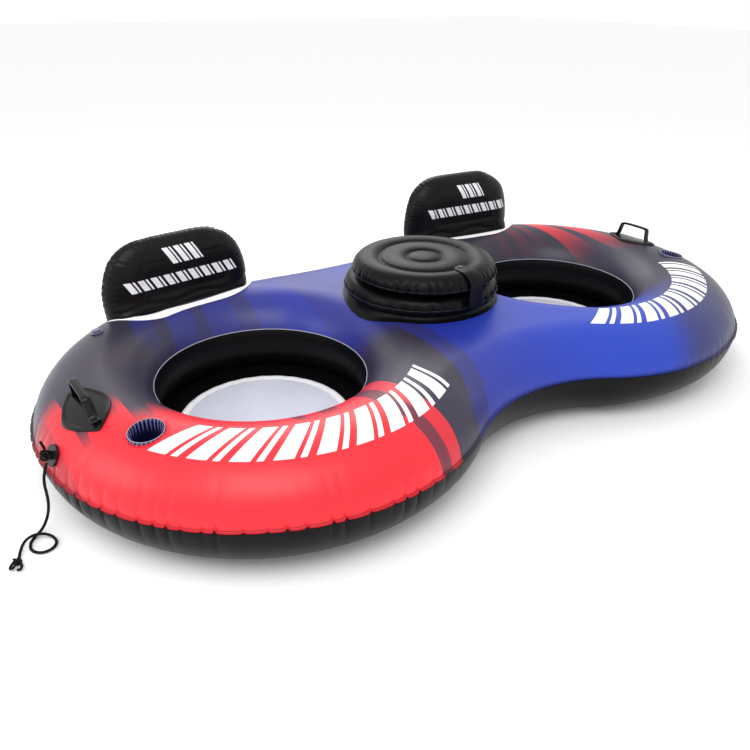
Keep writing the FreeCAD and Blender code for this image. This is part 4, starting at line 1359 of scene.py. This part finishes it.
def build_handle(side):
    """A lens-shaped welded patch with a raised rim, and a bent flat grip."""
    sign = SIDES[side]
    x0, y0, z0, tilt = sign * 1.114 - 0.010, sign * 0.040, 0.2930, radians(7.5)
    across = Vector((cos(tilt), 0, -sign * sin(tilt)))
    up = Vector((sign * sin(tilt), 0, cos(tilt)))
    along = Vector((0, 1, 0))
    base = Vector((x0, y0, z0))
    length, width = 0.108, 0.059
    rows = []
    half_row = [-1.0, -0.985, -0.95, -0.88, -0.80, -0.74, -0.66, -0.4, -0.15]
    whole_row = half_row + [0.0] + [-share for share in reversed(half_row)]
    for i in range(61):
        a = -length + 2 * length * i / 60
        w = width * max(0.0, 1 - (abs(a) / length) ** 1.7) ** 0.95 + 0.0015
        tip = min(1.0, (length - abs(a)) / 0.012)
        row = []
        for share in whole_row:
            height = 0.0070 * smoothstep(1.0 - abs(share), 0.0, 0.05)
            height -= 0.0038 * smoothstep(0.84 - abs(share), 0.0, 0.05)
            height *= 0.25 + 0.75 * tip
            row.append(surface(x0 + w * share, y0 + a, 0.0003 + height))
        rows.append(row)
    patch = slab("handle_patch_" + side, rows, 0.0006, M["plastic"])
    half_line = [(-0.0860, 0.0030), (-0.0760, 0.0040), (-0.0665, 0.0100), (-0.0625, 0.0250),
                 (-0.0595, 0.0450), (-0.0570, 0.0530), (-0.0480, 0.0552), (-0.0200, 0.0560)]
    corners = half_line + [(0.0, 0.0562)] + [(-a, h) for a, h in reversed(half_line)]
    line = even_path(smooth_path([(a, 0, h) for a, h in corners], 3), 0.0025)
    section = [(-0.0118, 0.0), (-0.0112, 0.0028), (-0.0090, 0.0038), (0.0, 0.0042),
               (0.0090, 0.0038), (0.0112, 0.0028)]
    section += [(-b, -h) for b, h in section]
    points = []
    for i, spot in enumerate(line):
        ahead, behind = line[min(i + 1, len(line) - 1)], line[max(i - 1, 0)]
        step = (ahead - behind).normalized()
        normal = Vector((-step.z, 0, step.x))
        bar = 0.80 + 0.2 * smoothstep(abs(spot.x), 0.03, 0.07)
        for b, h in section:
            p = spot + normal * h
            points.append(base + along * p.x + up * (p.z - 0.0012) + across * (b * bar))
    faces = grid_faces(len(line), len(section), wrap=True) + end_caps(points, len(section))
    grip = add_piece("handle_grip_" + side, points, faces, M["plastic"])
    dress(patch, "tube", "moulded_black", "handle_base_" + side)
    dress(grip, "tube", "moulded_black", "handle_loop_" + side)


for part_side in SIDES:
    build_cup(part_side)
    build_handle(part_side)

# ---- CAD nodes that stay

KEPT = {
    "tow_patch": "patch", "tow_eyelet": "plastic", "latch_snap": "plastic",
    "cooler_liner": "liner",
}
for valve in ("main", "rest_left", "rest_right", "lid", "collar"):
    KEPT[valve + "_valve_base"] = "valve"
    KEPT[valve + "_valve_cap"] = "valve"
for node, finish in KEPT.items():
    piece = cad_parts[node]
    if not piece.material_slots:
        piece.data.materials.append(M[finish])
    for place in piece.material_slots:
        place.material = M[finish]

# ---- floor and light


def build_stage():
    floor_material = Paint("floor").finish(srgb(250, 250, 251), 0.85, grain=0.0)
    half, z = 24, -0.0008
    corners = [(-half, -half, z), (half, -half, z), (half, half, z), (-half, half, z)]
    floor = add_piece("floor", corners, [(0, 1, 2, 3)], floor_material)
    world = bpy.data.worlds.new("studio")
    bpy.context.scene.world = world
    world.use_nodes = True
    sky = world.node_tree.nodes["Background"]
    put(sky.inputs["Color"], (1, 1, 1, 1))
    put(sky.inputs["Strength"], 1.0)
    for name, spot, size, power in (
        ("key", (-1.6, -1.6, 3.2), 2.2, 62),
        ("back", (1.2, 2.6, 2.4), 2.2, 40),
        ("left", (-3.4, 0.6, 1.8), 1.6, 22),
    ):
        data = bpy.data.lights.new(name, "AREA")
        data.size = size
        data.energy = power
        light = bpy.data.objects.new(name, data)
        turn = (Vector((-0.1, 0, 0.15)) - Vector(spot)).to_track_quat("-Z", "Y")
        light.matrix_world = Matrix.Translation(spot) @ turn.to_matrix().to_4x4()
        bpy.context.collection.objects.link(light)
    bpy.context.scene.view_settings.view_transform = "Standard"


build_stage()
